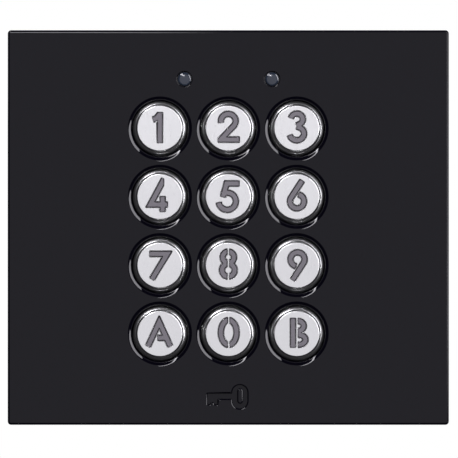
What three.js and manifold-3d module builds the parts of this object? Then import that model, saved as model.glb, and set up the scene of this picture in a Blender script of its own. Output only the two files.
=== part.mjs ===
// A wall keypad for door access: a black cover with twelve round metal keys, two status lenses and
// a sunk key mark, over a silicone key mat, a circuit board, a rear housing and a steel wall bracket.
//
// Everything is built lying on its back, in millimetres: X to the right, Y up the face, and Z the
// height above the wall. The whole group is then stood up, so that the face looks along -Y, +Z is
// up and the origin is the middle of the wall face.
import * as THREE from "three";
import { mergeVertices } from "three/addons/utils/BufferGeometryUtils.js";
import Module from "manifold-3d";

const wasm = await Module();
wasm.setup();

// ---- driving dimensions --------------------------------------------------------------------

const FACE_WIDTH = 129;
const FACE_HEIGHT = 115.4;
const FACE_ABOVE_WALL = 28; // wall to the cover's front face
const SLIDE_GAP = 0.3; // round a piece that moves, or that drops into another
const SEAT_GAP = 0.1; // between two pieces that rest on each other

// Front cover
const COVER_FACE = 3.2; // thickness of the face
const COVER_WALL = 2.5;
const COVER_LEDGE = 1.5; // the upper part of the wall is thicker by this, and the seal presses on it
const COVER_SKIRT = 15; // depth of the side wall
const COVER_CORNER = 1.2;
const COVER_EDGE = 0.8; // rounding round the face

// Keys, in a grid of three by four
const KEY_PITCH = 20;
const KEY_GRID_Y = -1; // middle of the grid, from the middle of the face
const KEY_RADIUS = 7.9;
const KEY_PROUD = 1.0; // key face above the cover's face
const KEY_ROUNDING = 1.5;
const KEY_TOP = 1.2; // thickness of the metal face
const KEY_WALL = 1.0;
const KEY_FLANGE_WIDTH = 1.3; // beyond the key's own radius
const KEY_FLANGE = 1.0;
const WELL_ROUNDING = 1.75; // the soft edge of the hole round each key
const LEGEND_STROKE = 1.5;
const LEGEND_BRIDGE = 0.8;
const LEGEND_SUNK = 0.4; // grey legend below the key's face
const INSERT_FOOT_RADIUS = 3.5;
const INSERT_FOOT = 0.6;

// Status lenses and the sunk key mark
const LENS_RADIUS = 2.0;
const LENS_SPACING = 25.6;
const LENS_ABOVE_KEYS = 14.4; // above the middle of the top row
const LENS_DOME = 0.35;
const LENS_SUNK = 0.1; // top of the dome below the cover's face
const LENS_FLANGE_WIDTH = 0.7;
const LENS_FLANGE = 1.0;
const MARK_FROM_BOTTOM = 8.3; // middle of the mark to the cover's bottom edge
const MARK_DEPTH = 0.8;
const MARK_STROKE = 1.5;

// Silicone mat and board
const BOARD_MARGIN = { x: 12.5, y: 9.2 }; // board's edge to the cover's outline
const BOARD_THICKNESS = 1.6;
const MAT_SHEET = 1.2;
const MAT_MARGIN = 2.2; // sheet beyond the outer key flanges
const DOME_TOP_RADIUS = 3.4;
const DOME_BASE_RADIUS = 5.4;
const DOME_HEIGHT = 3.2;
const DOME_SKIN = 0.6;
const DOME_PAD = 1.4; // thickness of the top that the key's foot presses
const BOARD_SCREW_INSET = { x: 4, y: 12.5 }; // from the board's edges
const BOARD_BOSS_RADIUS = 3;
const COIL_BAND = 1.6;
const COIL_THICKNESS = 1.5;
const COIL_FROM_BOSS = 1.75;
const COIL_FROM_EDGE = 1; // to the board's top and bottom edges

// Rear housing, seals and wall bracket
const HOUSING_INSET = 1.5; // housing inside the cover's outline, all round
const HOUSING_WALL = 2.4;
const HOUSING_OFF_WALL = 0.4;
const HOUSING_BACK = 2.2; // thickness of its back
const TONGUE = 1.6; // thickness of the rim that enters the cover
const TONGUE_RISE = 3.3;
const SEAL_WIDTH = 2.0;
const POST_RADIUS = 4.0;
const POST_OVERLAP = 0.4; // each screw post runs this far into the cover's ledge
const BRACKET_MARGIN = { x: 12.5, y: 9.7 }; // bracket's edge to the cover's outline
const BRACKET_STEEL = 1.5;
const BRACKET_GAP = 0.5; // bracket to the housing's back
const BRACKET_CORNER = 4;
const WINDOW = { left: -34, right: 34, bottom: 10, top: 36 }; // cable window in bracket and back
const LOCK_HEIGHT = 8.4; // of the lock screw above the wall
const WINDOW_CORNER = 3;
const FIXING_SLOT = { width: 4.6, length: 9 };
const FIXING_SPACING = 60;
const HOOK_X = 30;
const HOOK_WIDTH = 8;
const HOOK_REACH = 2.3;
const FLANGE_WIDTH = 18;

// Screws
const COVER_SCREW = { radius: 1.5, head: 2.8, headDepth: 1.8 };
const BOARD_SCREW = { radius: 1.25, head: 2.3, headDepth: 1.5, length: 6 };
const LOCK_SCREW = { radius: 1.5, head: 2.8, headDepth: 1.7 };
const PILOT = 0.3; // a threaded hole is drawn this much wider than its screw, on the radius

// Terminals and switches on the back of the board
const TERMINAL_WAYS = 6;
const TERMINAL_PITCH = 5.08;
const TERMINAL = { depth: 10, tall: 10.4, y: 26 };
const TERMINAL_SCREW = { radius: 1.7, length: 3.3, sunk: 0.8, slot: 0.7 };
const TAMPER = { x: -27, y: 26, side: 7, tall: 7, stem: 1.5, head: 2.2, travel: 1.5 };
const RESET = { x: 27, y: 26, side: 6.4, tall: 3.6, stem: 1.6, head: 2.1, travel: 0.3 };

// Sides of the round pieces: the keys and their wells, other round pieces, and small holes
const KEY_SIDES = 16;
const ROUND_SIDES = 10;
const HOLE_SIDES = 8;

// ---- heights above the wall, from the dimensions above ----------------------------------------

const Z_FACE = FACE_ABOVE_WALL;
const Z_FACE_BACK = Z_FACE - COVER_FACE;
const Z_SKIRT = Z_FACE - COVER_SKIRT;
const Z_HOUSING_RIM = Z_SKIRT - SLIDE_GAP;
const Z_TONGUE = Z_HOUSING_RIM + TONGUE_RISE;
const Z_LEDGE = Z_TONGUE + 1.7;
const Z_KEY_FACE = Z_FACE + KEY_PROUD;
const Z_FLANGE_TOP = Z_FACE_BACK - SLIDE_GAP;
const Z_FLANGE = Z_FLANGE_TOP - KEY_FLANGE;
const Z_INSERT_TOP = Z_KEY_FACE - KEY_TOP - SLIDE_GAP;
const Z_INSERT = Z_FLANGE - 0.5;
const Z_DOME = Z_INSERT - SEAT_GAP;
const Z_MAT_TOP = Z_DOME - DOME_HEIGHT;
const Z_BOARD_FRONT = Z_MAT_TOP - MAT_SHEET - SEAT_GAP;
const Z_BOARD_BACK = Z_BOARD_FRONT - BOARD_THICKNESS;
const Z_PARTS = Z_BOARD_BACK - SEAT_GAP; // where the parts on the back of the board start
const Z_BACK = BRACKET_STEEL + BRACKET_GAP;
const Z_BACK_INSIDE = Z_BACK + HOUSING_BACK;

// ---- plan sizes, from the dimensions above ------------------------------------------------------

const KEY_FLANGE_RADIUS = KEY_RADIUS + KEY_FLANGE_WIDTH;
const LENS_FLANGE_RADIUS = LENS_RADIUS + LENS_FLANGE_WIDTH;
const MARK_Y = MARK_FROM_BOTTOM - FACE_HEIGHT / 2;
const LEDGE_X = FACE_WIDTH / 2 - COVER_WALL - COVER_LEDGE;
const LEDGE_Y = FACE_HEIGHT / 2 - COVER_WALL - COVER_LEDGE;
const POST_X = LEDGE_X - POST_RADIUS + POST_OVERLAP;
const POST_Y = LEDGE_Y - POST_RADIUS + POST_OVERLAP;
const BOARD_WIDTH = FACE_WIDTH - 2 * BOARD_MARGIN.x;
const BOARD_HEIGHT = FACE_HEIGHT - 2 * BOARD_MARGIN.y;
const BOARD_SCREW_X = BOARD_WIDTH / 2 - BOARD_SCREW_INSET.x;
const BOARD_SCREW_Y = BOARD_HEIGHT / 2 - BOARD_SCREW_INSET.y;
const BRACKET_WIDTH = FACE_WIDTH - 2 * BRACKET_MARGIN.x;
const BRACKET_HEIGHT = FACE_HEIGHT - 2 * BRACKET_MARGIN.y;
const MAT_X = KEY_PITCH + KEY_FLANGE_RADIUS + MAT_MARGIN; // half its width

// ---- helpers ----------------------------------------------------------------------------------

// A closed geometry as a solid that can be cut and joined.
function solidOf(geometry) {
  const flat = geometry.index ? geometry.toNonIndexed() : geometry;
  const bare = new THREE.BufferGeometry().setAttribute("position", flat.getAttribute("position"));
  const merged = mergeVertices(bare, 1e-4);
  return new wasm.Manifold(
    new wasm.Mesh({
      numProp: 3,
      vertProperties: merged.attributes.position.array,
      triVerts: new Uint32Array(merged.index.array),
    }),
  );
}

function geometryOf(solid) {
  const { vertProperties, triVerts, numProp, numVert } = solid.getMesh();
  const positions = new Float32Array(numVert * 3);
  for (let i = 0; i < numVert; i++) {
    positions.set(vertProperties.subarray(i * numProp, i * numProp + 3), i * 3);
  }
  return new THREE.BufferGeometry()
    .setAttribute("position", new THREE.BufferAttribute(positions, 3))
    .setIndex(new THREE.BufferAttribute(triVerts, 1));
}

const joined = (solids) => solids.reduce((a, b) => a.add(b));
const cutBy = (solid, cutters) => cutters.reduce((a, b) => a.subtract(b), solid);

// A rectangle about x, y with round corners.
function plate(width, height, corner, x = 0, y = 0) {
  const w = width / 2;
  const h = height / 2;
  const shape = new THREE.Shape();
  if (corner === 0) {
    return shape.moveTo(x - w, y - h).lineTo(x + w, y - h).lineTo(x + w, y + h).lineTo(x - w, y + h);
  }
  shape.moveTo(x - w + corner, y - h);
  shape.absarc(x + w - corner, y - h + corner, corner, -Math.PI / 2, 0);
  shape.absarc(x + w - corner, y + h - corner, corner, 0, Math.PI / 2);
  shape.absarc(x - w + corner, y + h - corner, corner, Math.PI / 2, Math.PI);
  shape.absarc(x - w + corner, y - h + corner, corner, Math.PI, (3 * Math.PI) / 2);
  return shape;
}

// A shape raised from height low to height high.
function raised(shape, low, high, curveSegments = 3) {
  const geometry = new THREE.ExtrudeGeometry(shape, {
    depth: high - low,
    bevelEnabled: false,
    curveSegments,
  });
  return solidOf(geometry.translate(0, 0, low));
}

const block = (width, height, low, high, x = 0, y = 0) =>
  raised(plate(width, height, 0, x, y), low, high);

// A solid turned about an upright axis at x, y, from [radius, height] points, axis to axis.
function turned(points, segments, x = 0, y = 0) {
  const profile = points.map(([radius, height]) => new THREE.Vector2(radius, height));
  const geometry = new THREE.LatheGeometry(profile, segments);
  return solidOf(geometry.rotateX(Math.PI / 2).translate(x, y, 0));
}

const rod = (radius, low, high, x = 0, y = 0, segments = ROUND_SIDES) =>
  turned([[0, low], [radius, low], [radius, high], [0, high]], segments, x, y);

// Points of a quarter round of the given radius about [r, z], from one angle to another.
function quarter(r, z, radius, from, to, steps) {
  return Array.from({ length: steps + 1 }, (_, i) => {
    const angle = from + ((to - from) * i) / steps;
    return [r + radius * Math.cos(angle), z + radius * Math.sin(angle)];
  });
}

// ---- legends ----------------------------------------------------------------------------------

// An arc's points, with angles in degrees.
function arc(x, y, rx, ry, from, to) {
  const steps = Math.ceil(Math.abs(to - from) / 36);
  return Array.from({ length: steps + 1 }, (_, i) => {
    const angle = THREE.MathUtils.degToRad(from + ((to - from) * i) / steps);
    return [x + rx * Math.cos(angle), y + ry * Math.sin(angle)];
  });
}

// The outline of a stroke of one width along a line of points, with mitred corners and square
// ends. Each end is shortened by trim.
function stroke(points, width, trim = 0) {
  const line = points.map(([x, y]) => new THREE.Vector2(x, y));
  const shorten = (end, next) => end.add(next.clone().sub(end).setLength(trim));
  shorten(line[0], line[1]);
  shorten(line[line.length - 1], line[line.length - 2]);
  const side = (a, b) => new THREE.Vector2(a.y - b.y, b.x - a.x).normalize();
  const offsets = line.map((point, i) => {
    const before = i > 0 ? side(line[i - 1], point) : side(point, line[i + 1]);
    const after = i < line.length - 1 ? side(point, line[i + 1]) : before;
    const mitre = before.clone().add(after).normalize();
    return mitre.multiplyScalar(width / 2 / mitre.dot(before));
  });
  const left = line.map((point, i) => point.clone().add(offsets[i]));
  const right = line.map((point, i) => point.clone().sub(offsets[i]));
  return new THREE.Shape([...right, ...left.reverse()]);
}

// The centre lines of each legend's strokes, about the middle of its key.
const LEGENDS = {
  1: [[[0.3, 4.4], [0.3, -4.4]], [[-1.7, 2.9], [0.3, 3.9]]],
  2: [[...arc(0.1, 2.1, 1.9, 1.8, 185, -25), [-2.1, -3.75], [3.0, -3.75]]],
  3: [
    [...arc(0.1, 2.1, 1.75, 1.75, 165, -60), [0.3, 0.4]],
    [[0.3, 0.25], ...arc(0, -1.8, 2.1, 2.05, 60, -165)],
  ],
  4: [[[0.85, 4.5], [-2.85, -1.6], [2.2, -1.6]], [[0.6, 1.0], [0.6, -3.9]]],
  5: [[[3.1, 3.85], [-0.5, 3.85], [-1.5, 0]], arc(-0.3, -1.35, 2.5, 2.5, 125, -170)],
  6: [[[1.65, 4.2], ...arc(0.2, -1.75, 2.05, 2.05, 155, 435)]],
  7: [[[-2.9, 3.5], [2.2, 3.5], [-2.25, -3.8]]],
  8: [arc(0, 2.3, 1.65, 1.65, 90, 450), arc(0, -1.45, 1.85, 1.85, 90, 450)],
  9: [[[-1.4, -4.0], ...arc(0, 1.9, 2.05, 2.05, -25, 255)]],
  a: [[[-3.35, -4.2], [-0.1, 2.8], [3.1, -4.2]], [[-0.5, -1.8], [2.1, -1.8]]],
  0: [arc(0, 0, 2.3, 3.6, 90, 450)],
  b: [
    [[-1.4, 4.2], [-1.4, -4.2]],
    [[-0.6, 3.45], ...arc(0.1, 2, 1.6, 1.45, 90, -90), [-0.6, 0.55]],
    [[-0.6, -0.6], ...arc(0.2, -2.05, 2, 1.45, 90, -90), [-0.6, -3.5]],
  ],
};

// Closed letters are split by an upright bridge, as a stencil's are, because a legend is cut right
// through the metal. This is where each bridge stands.
const BRIDGES = { 8: 0, 0: 0, b: -0.27 };

// A key's legend as solid strokes, or, with room, as narrower strokes that fit inside those.
function legendSolid(name, low, high, room = 0) {
  const strokes = LEGENDS[name].map((line) =>
    raised(stroke(line, LEGEND_STROKE - 2 * room, room), low, high),
  );
  const legend = joined(strokes);
  return name in BRIDGES
    ? legend.subtract(block(LEGEND_BRIDGE + 2 * room, 12, low - 1, high + 1, BRIDGES[name], 0))
    : legend;
}

// Each key's name with the middle of its place on the face.
const KEYS = ["1", "2", "3", "4", "5", "6", "7", "8", "9", "a", "0", "b"].map((name, i) => ({
  name,
  x: ((i % 3) - 1) * KEY_PITCH,
  y: KEY_GRID_Y + (1.5 - Math.floor(i / 3)) * KEY_PITCH,
}));

// ---- front: cover, keys, lenses, mat -----------------------------------------------------------

const WELL_RADIUS = KEY_RADIUS + SLIDE_GAP;

function keyWell({ x, y }) {
  const edge = quarter(
    WELL_RADIUS + WELL_ROUNDING, Z_FACE - WELL_ROUNDING, WELL_ROUNDING, Math.PI, Math.PI / 2, 2,
  );
  const low = Z_FACE_BACK - 1;
  const high = Z_FACE + 1;
  return turned(
    [[0, low], [WELL_RADIUS, low], ...edge, [WELL_RADIUS + WELL_ROUNDING, high], [0, high]],
    KEY_SIDES, x, y,
  );
}

// A door key lying on its side: an oval bow with an island, a shank and a notched bit.
function keyMark() {
  const low = Z_FACE - MARK_DEPTH;
  const high = Z_FACE + 1;
  const bow = { x: 3.6, width: 4.6, height: 6.9 };
  const shankEnd = -6.2;
  const bit = { width: 2.4, drop: 2.6, notch: 0.6 };
  const island = plate(bow.width - 2 * MARK_STROKE, bow.height - 2 * MARK_STROKE, 0.7, bow.x, MARK_Y);
  const outline = plate(bow.width, bow.height, bow.width / 2 - 0.01, bow.x, MARK_Y);
  const shankLength = bow.x - bow.width / 2 - shankEnd + 0.4;
  return joined([
    raised(outline, low, high).subtract(raised(island, low, high)),
    block(shankLength, MARK_STROKE, low, high, shankEnd + shankLength / 2, MARK_Y),
    block(bit.width, bit.drop, low, high, shankEnd + bit.width / 2, MARK_Y - bit.drop / 2),
  ]).subtract(
    block(bit.notch, bit.notch, low, high, shankEnd + bit.width / 2, MARK_Y - bit.drop + bit.notch / 2),
  );
}

const posts = [[-1, 1], [1, 1], [-1, -1], [1, -1]];
const postPlaces = posts.map(([sx, sy]) => [sx * POST_X, sy * POST_Y]);
const boardScrewPlaces = posts.map(([sx, sy]) => [sx * BOARD_SCREW_X, sy * BOARD_SCREW_Y]);
const LENS_Y = KEY_GRID_Y + 1.5 * KEY_PITCH + LENS_ABOVE_KEYS;
const lensPlaces = [[-LENS_SPACING / 2, LENS_Y], [LENS_SPACING / 2, LENS_Y]];

function frontCover() {
  const outline = plate(FACE_WIDTH, FACE_HEIGHT, COVER_CORNER);
  const shell = new THREE.ExtrudeGeometry(outline, {
    depth: COVER_SKIRT,
    bevelThickness: COVER_EDGE,
    bevelSize: COVER_EDGE,
    bevelOffset: -COVER_EDGE,
    bevelSegments: 2,
    curveSegments: 3,
  }).translate(0, 0, Z_SKIRT - COVER_EDGE);
  const wide = 2 * COVER_WALL;
  const narrow = 2 * (COVER_WALL + COVER_LEDGE);
  const hollows = [
    block(FACE_WIDTH + 2, FACE_HEIGHT + 2, Z_SKIRT - 2 * COVER_EDGE, Z_SKIRT),
    block(FACE_WIDTH - wide, FACE_HEIGHT - wide, Z_SKIRT - 1, Z_LEDGE),
    block(FACE_WIDTH - narrow, FACE_HEIGHT - narrow, Z_LEDGE - 1, Z_FACE_BACK),
  ];
  const bosses = [
    ...postPlaces.map(([x, y]) => rod(POST_RADIUS, Z_LEDGE, Z_FACE_BACK + 1, x, y)),
    ...boardScrewPlaces.map(([x, y]) =>
      rod(BOARD_BOSS_RADIUS, Z_BOARD_FRONT + SEAT_GAP, Z_FACE_BACK + 1, x, y),
    ),
  ];
  const postPilot = COVER_SCREW.radius + PILOT;
  const boardPilot = BOARD_SCREW.radius + PILOT;
  const holes = [
    ...KEYS.map(keyWell),
    ...lensPlaces.map(([x, y]) => rod(LENS_RADIUS + 0.2, Z_FACE_BACK - 1, Z_FACE + 1, x, y)),
    ...postPlaces.map(([x, y]) => rod(postPilot, Z_LEDGE - 1, Z_FACE_BACK, x, y, HOLE_SIDES)),
    ...boardScrewPlaces.map(([x, y]) => rod(boardPilot, Z_BOARD_FRONT, Z_FACE_BACK, x, y, HOLE_SIDES)),
    keyMark(),
  ];
  const hollow = cutBy(solidOf(shell), hollows);
  return cutBy(joined([hollow, ...bosses]), holes);
}

function keyCap({ name, x, y }) {
  const inside = KEY_RADIUS - KEY_WALL;
  const shoulder = quarter(
    KEY_RADIUS - KEY_ROUNDING, Z_KEY_FACE - KEY_ROUNDING, KEY_ROUNDING, 0, Math.PI / 2, 2,
  );
  const cap = turned(
    [
      [0, Z_KEY_FACE - KEY_TOP],
      [inside, Z_KEY_FACE - KEY_TOP],
      [inside, Z_FLANGE],
      [KEY_FLANGE_RADIUS, Z_FLANGE],
      [KEY_FLANGE_RADIUS, Z_FLANGE_TOP],
      [KEY_RADIUS, Z_FLANGE_TOP],
      ...shoulder,
      [0, Z_KEY_FACE],
    ],
    KEY_SIDES,
  );
  const legend = legendSolid(name, Z_KEY_FACE - KEY_TOP - 0.5, Z_KEY_FACE + 1);
  return cap.subtract(legend).translate([x, y, 0]);
}

// The grey light guide inside a key. Its front stands up into the legend, and its foot pushes the
// mat's dome.
function keyInsert({ name, x, y }) {
  const radius = KEY_RADIUS - KEY_WALL - SLIDE_GAP;
  const shoulder = Z_INSERT + INSERT_FOOT;
  const body = turned(
    [
      [0, Z_INSERT],
      [INSERT_FOOT_RADIUS, Z_INSERT],
      [INSERT_FOOT_RADIUS, shoulder],
      [radius, shoulder],
      [radius, Z_INSERT_TOP],
      [0, Z_INSERT_TOP],
    ],
    KEY_SIDES,
  );
  const legend = legendSolid(name, Z_INSERT_TOP - 0.5, Z_KEY_FACE - LEGEND_SUNK, SLIDE_GAP);
  return body.add(legend).translate([x, y, 0]);
}

function keypadMat() {
  const sheetBottom = Z_BOARD_FRONT + SEAT_GAP;
  const sheet = raised(
    plate(2 * MAT_X, 2 * MAT_X + KEY_PITCH, 3, 0, KEY_GRID_Y), sheetBottom, Z_MAT_TOP,
  );
  const dome = (skin, top, bottom) => ({ x, y }) =>
    turned(
      [[0, bottom], [DOME_BASE_RADIUS - skin, bottom], [DOME_TOP_RADIUS - skin, top], [0, top]],
      HOLE_SIDES, x, y,
    );
  const domes = KEYS.map(dome(0, Z_DOME, Z_MAT_TOP - 0.2));
  const undersides = KEYS.map(dome(DOME_SKIN, Z_DOME - DOME_PAD, sheetBottom - 0.2));
  return cutBy(joined([sheet, ...domes]), undersides);
}

// A lens with a low dome, a flange behind the face and a stem that reaches down to its LED.
function statusLens([x, y]) {
  const top = Z_FACE - LENS_SUNK;
  const flangeTop = Z_FACE_BACK - SEAT_GAP;
  const sphere = (LENS_RADIUS ** 2 + LENS_DOME ** 2) / (2 * LENS_DOME);
  const rim = Math.asin(LENS_RADIUS / sphere);
  const dome = quarter(0, top - sphere, sphere, Math.PI / 2 - rim, Math.PI / 2, 2);
  return turned(
    [
      [0, Z_BOARD_FRONT + 2],
      [LENS_RADIUS, Z_BOARD_FRONT + 2],
      [LENS_RADIUS, flangeTop - LENS_FLANGE],
      [LENS_FLANGE_RADIUS, flangeTop - LENS_FLANGE],
      [LENS_FLANGE_RADIUS, flangeTop],
      [LENS_RADIUS, flangeTop],
      ...dome.slice(0, -1),
      [0, top],
    ],
    ROUND_SIDES, x, y,
  );
}

// ---- board and what is on it -------------------------------------------------------------------

function mainBoard() {
  const board = raised(plate(BOARD_WIDTH, BOARD_HEIGHT, 2), Z_BOARD_BACK, Z_BOARD_FRONT);
  const screwHole = BOARD_SCREW.radius + SLIDE_GAP;
  const holes = boardScrewPlaces.map(([x, y]) =>
    rod(screwHole, Z_BOARD_BACK - 1, Z_BOARD_FRONT + 1, x, y, HOLE_SIDES),
  );
  return cutBy(board, holes);
}

const statusLed = ([x, y]) =>
  block(2, 1.4, Z_BOARD_FRONT + SEAT_GAP, Z_BOARD_FRONT + 1.5, x, y);

// The reader coil: a flat winding round the mat, on the front of the board.
function readerCoil() {
  const width = 2 * (BOARD_SCREW_X - BOARD_BOSS_RADIUS - COIL_FROM_BOSS);
  const height = BOARD_HEIGHT - 2 * COIL_FROM_EDGE;
  const low = Z_BOARD_FRONT + SEAT_GAP;
  return ring(width, height, 5, COIL_BAND, low, low + COIL_THICKNESS);
}

// A flat chip in a square package, with its rows of leads on all four sides.
function controllerChip() {
  const at = { x: 2, y: -12 };
  const side = 10;
  const leads = 5;
  const bodyTop = Z_PARTS;
  const package_ = block(side, side, bodyTop - 1.4, bodyTop - 0.15, at.x, at.y);
  const rows = Array.from({ length: leads }, (_, i) => {
    const along = (i - (leads - 1) / 2) * 1.8;
    return [
      block(side + 2, 0.6, bodyTop - 0.5, bodyTop - 0.2, at.x, at.y + along),
      block(0.6, side + 2, bodyTop - 0.5, bodyTop - 0.2, at.x + along, at.y),
    ];
  }).flat();
  return joined([package_, ...rows]);
}

const relay = () => raised(plate(19, 15.2, 0.8, -30, -10), Z_PARTS - 10.6, Z_PARTS);

function sounder() {
  const at = [30, -14];
  const low = Z_PARTS - 8;
  return rod(6.4, low, Z_PARTS, ...at, KEY_SIDES).subtract(rod(1.1, low - 1, low + 1.5, ...at, HOLE_SIDES));
}

const filterCapacitor = () =>
  turned(
    [[0, Z_PARTS - 10], [3.6, Z_PARTS - 10], [4, Z_PARTS - 9.6], [4, Z_PARTS], [0, Z_PARTS]],
    ROUND_SIDES, -34, 8,
  );

const terminalWays = Array.from(
  { length: TERMINAL_WAYS },
  (_, i) => (i - (TERMINAL_WAYS - 1) / 2) * TERMINAL_PITCH,
);
const Z_TERMINAL = Z_PARTS - TERMINAL.tall;

const TERMINAL_SCREW_Y = TERMINAL.y + 1;

// Each way has a round well for its screw and, in the lower side, a mouth for its wire.
function terminalBlock() {
  const width = TERMINAL_WAYS * TERMINAL_PITCH;
  const body = block(width, TERMINAL.depth, Z_TERMINAL, Z_PARTS, 0, TERMINAL.y);
  const side = TERMINAL.y - TERMINAL.depth / 2;
  const well = TERMINAL_SCREW.radius + SLIDE_GAP;
  const wellTop = Z_TERMINAL + TERMINAL_SCREW.sunk + TERMINAL_SCREW.length + SLIDE_GAP;
  const mouth = { width: 3.2, deep: 4, low: wellTop + 0.8, high: wellTop + 4.2 };
  const cutters = terminalWays.flatMap((x) => [
    rod(well, Z_TERMINAL - 1, wellTop, x, TERMINAL_SCREW_Y, HOLE_SIDES),
    block(mouth.width, 2 * mouth.deep, mouth.low, mouth.high, x, side),
  ]);
  return cutBy(body, cutters);
}

// A clamp screw with its head towards the wall, sunk in the terminal block.
function terminalScrew(x) {
  const { radius, sunk, length, slot } = TERMINAL_SCREW;
  const low = Z_TERMINAL + sunk;
  const shank = rod(radius, low, low + length, x, TERMINAL_SCREW_Y, HOLE_SIDES);
  return shank.subtract(block(2 * radius - 0.8, slot, low - 1, low + slot, x, TERMINAL_SCREW_Y));
}

// A switch has a headed stem in a chamber, so the stem can't fall out towards the wall.
const HEAD_THICKNESS = 1;
const STEM_PROUD = 1.6; // of the reset stem, beyond its switch

function switchBody(spec, chamberLow, chamberHigh) {
  const low = Z_PARTS - spec.tall;
  const body = block(spec.side, spec.side, low, Z_PARTS, spec.x, spec.y);
  return cutBy(body, [
    rod(spec.stem + SLIDE_GAP, low - 1, chamberHigh, spec.x, spec.y),
    rod(spec.head + SLIDE_GAP, chamberLow, chamberHigh, spec.x, spec.y),
  ]);
}

const switchStem = (spec, tip, top) =>
  turned(
    [
      [0, tip],
      [spec.stem - 0.4, tip],
      [spec.stem, tip + 0.4],
      [spec.stem, top - HEAD_THICKNESS],
      [spec.head, top - HEAD_THICKNESS],
      [spec.head, top],
      [0, top],
    ],
    ROUND_SIDES, spec.x, spec.y,
  );

// The tamper stem is sprung towards the wall, which holds it in.
const Z_TAMPER_HEAD = Z_PARTS - 1.3;
const tamperSwitch = () =>
  switchBody(TAMPER, Z_TAMPER_HEAD - HEAD_THICKNESS - TAMPER.travel - SLIDE_GAP, Z_TAMPER_HEAD + SLIDE_GAP);
const tamperPlunger = () => switchStem(TAMPER, 0, Z_TAMPER_HEAD);

// The reset stem is pressed away from the wall.
const Z_RESET_HEAD = Z_PARTS - 1.5;
const resetSwitch = () =>
  switchBody(RESET, Z_RESET_HEAD - HEAD_THICKNESS - SLIDE_GAP, Z_RESET_HEAD + RESET.travel + SLIDE_GAP);
const resetButton = () => switchStem(RESET, Z_PARTS - RESET.tall - STEM_PROUD, Z_RESET_HEAD);

// ---- rear housing, seals, bracket, screws --------------------------------------------------------

const HOUSING_WIDTH = FACE_WIDTH - 2 * HOUSING_INSET;
const HOUSING_HEIGHT = FACE_HEIGHT - 2 * HOUSING_INSET;
const TONGUE_WIDTH = FACE_WIDTH - 2 * (COVER_WALL + SLIDE_GAP);
const TONGUE_HEIGHT = FACE_HEIGHT - 2 * (COVER_WALL + SLIDE_GAP);
const INSIDE_WIDTH = HOUSING_WIDTH - 2 * HOUSING_WALL;
const INSIDE_HEIGHT = HOUSING_HEIGHT - 2 * HOUSING_WALL;
const windowShape = (grow) =>
  plate(
    WINDOW.right - WINDOW.left + 2 * grow,
    WINDOW.top - WINDOW.bottom + 2 * grow,
    WINDOW_CORNER,
    (WINDOW.left + WINDOW.right) / 2,
    (WINDOW.bottom + WINDOW.top) / 2,
  );
const LOCK_FLANGE_Y = -BRACKET_HEIGHT / 2;

// A rod along Y, for what goes in through the bottom wall.
const crossRod = (radius, from, to, z, segments = ROUND_SIDES) =>
  solidOf(new THREE.CylinderGeometry(radius, radius, to - from, segments).translate(0, (from + to) / 2, z));

function rearHousing() {
  const body = raised(plate(HOUSING_WIDTH, HOUSING_HEIGHT, COVER_CORNER), HOUSING_OFF_WALL, Z_HOUSING_RIM);
  const tongue = raised(plate(TONGUE_WIDTH, TONGUE_HEIGHT, 0), Z_HOUSING_RIM - 1, Z_TONGUE);
  const tongueInside = [TONGUE_WIDTH - 2 * TONGUE, TONGUE_HEIGHT - 2 * TONGUE];
  const hollows = [
    block(INSIDE_WIDTH, INSIDE_HEIGHT, Z_BACK_INSIDE, Z_HOUSING_RIM),
    block(...tongueInside, Z_HOUSING_RIM - 0.5, Z_TONGUE + 1),
    raised(plate(INSIDE_WIDTH, INSIDE_HEIGHT, 2), HOUSING_OFF_WALL - 1, Z_BACK),
  ];
  const columns = postPlaces.map(([x, y]) => rod(POST_RADIUS, Z_BACK, Z_LEDGE - SEAT_GAP, x, y));
  const headTop = Z_BACK + COVER_SCREW.headDepth + SEAT_GAP;
  const hookSlot = { height: 4.4, top: BRACKET_HEIGHT / 2 + SLIDE_GAP };
  const holes = [
    raised(windowShape(0), Z_BACK - 1, Z_BACK_INSIDE + 1),
    ...postPlaces.map(([x, y]) =>
      joined([
        rod(COVER_SCREW.radius + SLIDE_GAP, Z_BACK - 1, Z_LEDGE + 1, x, y, HOLE_SIDES),
        rod(COVER_SCREW.head + SLIDE_GAP, Z_BACK - 1, headTop, x, y),
      ]),
    ),
    ...[-HOOK_X, HOOK_X].map((x) =>
      block(
        HOOK_WIDTH + 2 * SLIDE_GAP, hookSlot.height, Z_BACK - 1, Z_BACK_INSIDE + 1,
        x, hookSlot.top - hookSlot.height / 2,
      ),
    ),
    block(
      FLANGE_WIDTH + 2 * SLIDE_GAP, BRACKET_STEEL + 2 * SLIDE_GAP, Z_BACK - 1, Z_BACK_INSIDE + 1,
      0, LOCK_FLANGE_Y + BRACKET_STEEL / 2,
    ),
    crossRod(LOCK_SCREW.radius + SLIDE_GAP, -HOUSING_HEIGHT / 2 - 1, LOCK_FLANGE_Y, LOCK_HEIGHT),
    crossRod(
      LOCK_SCREW.head + SLIDE_GAP, -HOUSING_HEIGHT / 2 - 1,
      -HOUSING_HEIGHT / 2 + LOCK_SCREW.headDepth, LOCK_HEIGHT,
    ),
  ];
  const shell = cutBy(body.add(tongue), hollows);
  return cutBy(joined([shell, ...columns]), holes);
}

// A flat ring that follows a rectangle.
const ring = (width, height, corner, band, low, high) =>
  raised(plate(width, height, corner), low, high).subtract(
    raised(plate(width - 2 * band, height - 2 * band, Math.max(corner - band, 0.5)), low - 1, high + 1),
  );

const coverSeal = () =>
  cutBy(
    ring(TONGUE_WIDTH, TONGUE_HEIGHT, 1, TONGUE, Z_TONGUE + SEAT_GAP, Z_LEDGE - SEAT_GAP),
    postPlaces.map(([x, y]) => rod(POST_RADIUS + SLIDE_GAP, Z_TONGUE, Z_LEDGE, x, y)),
  );

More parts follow.
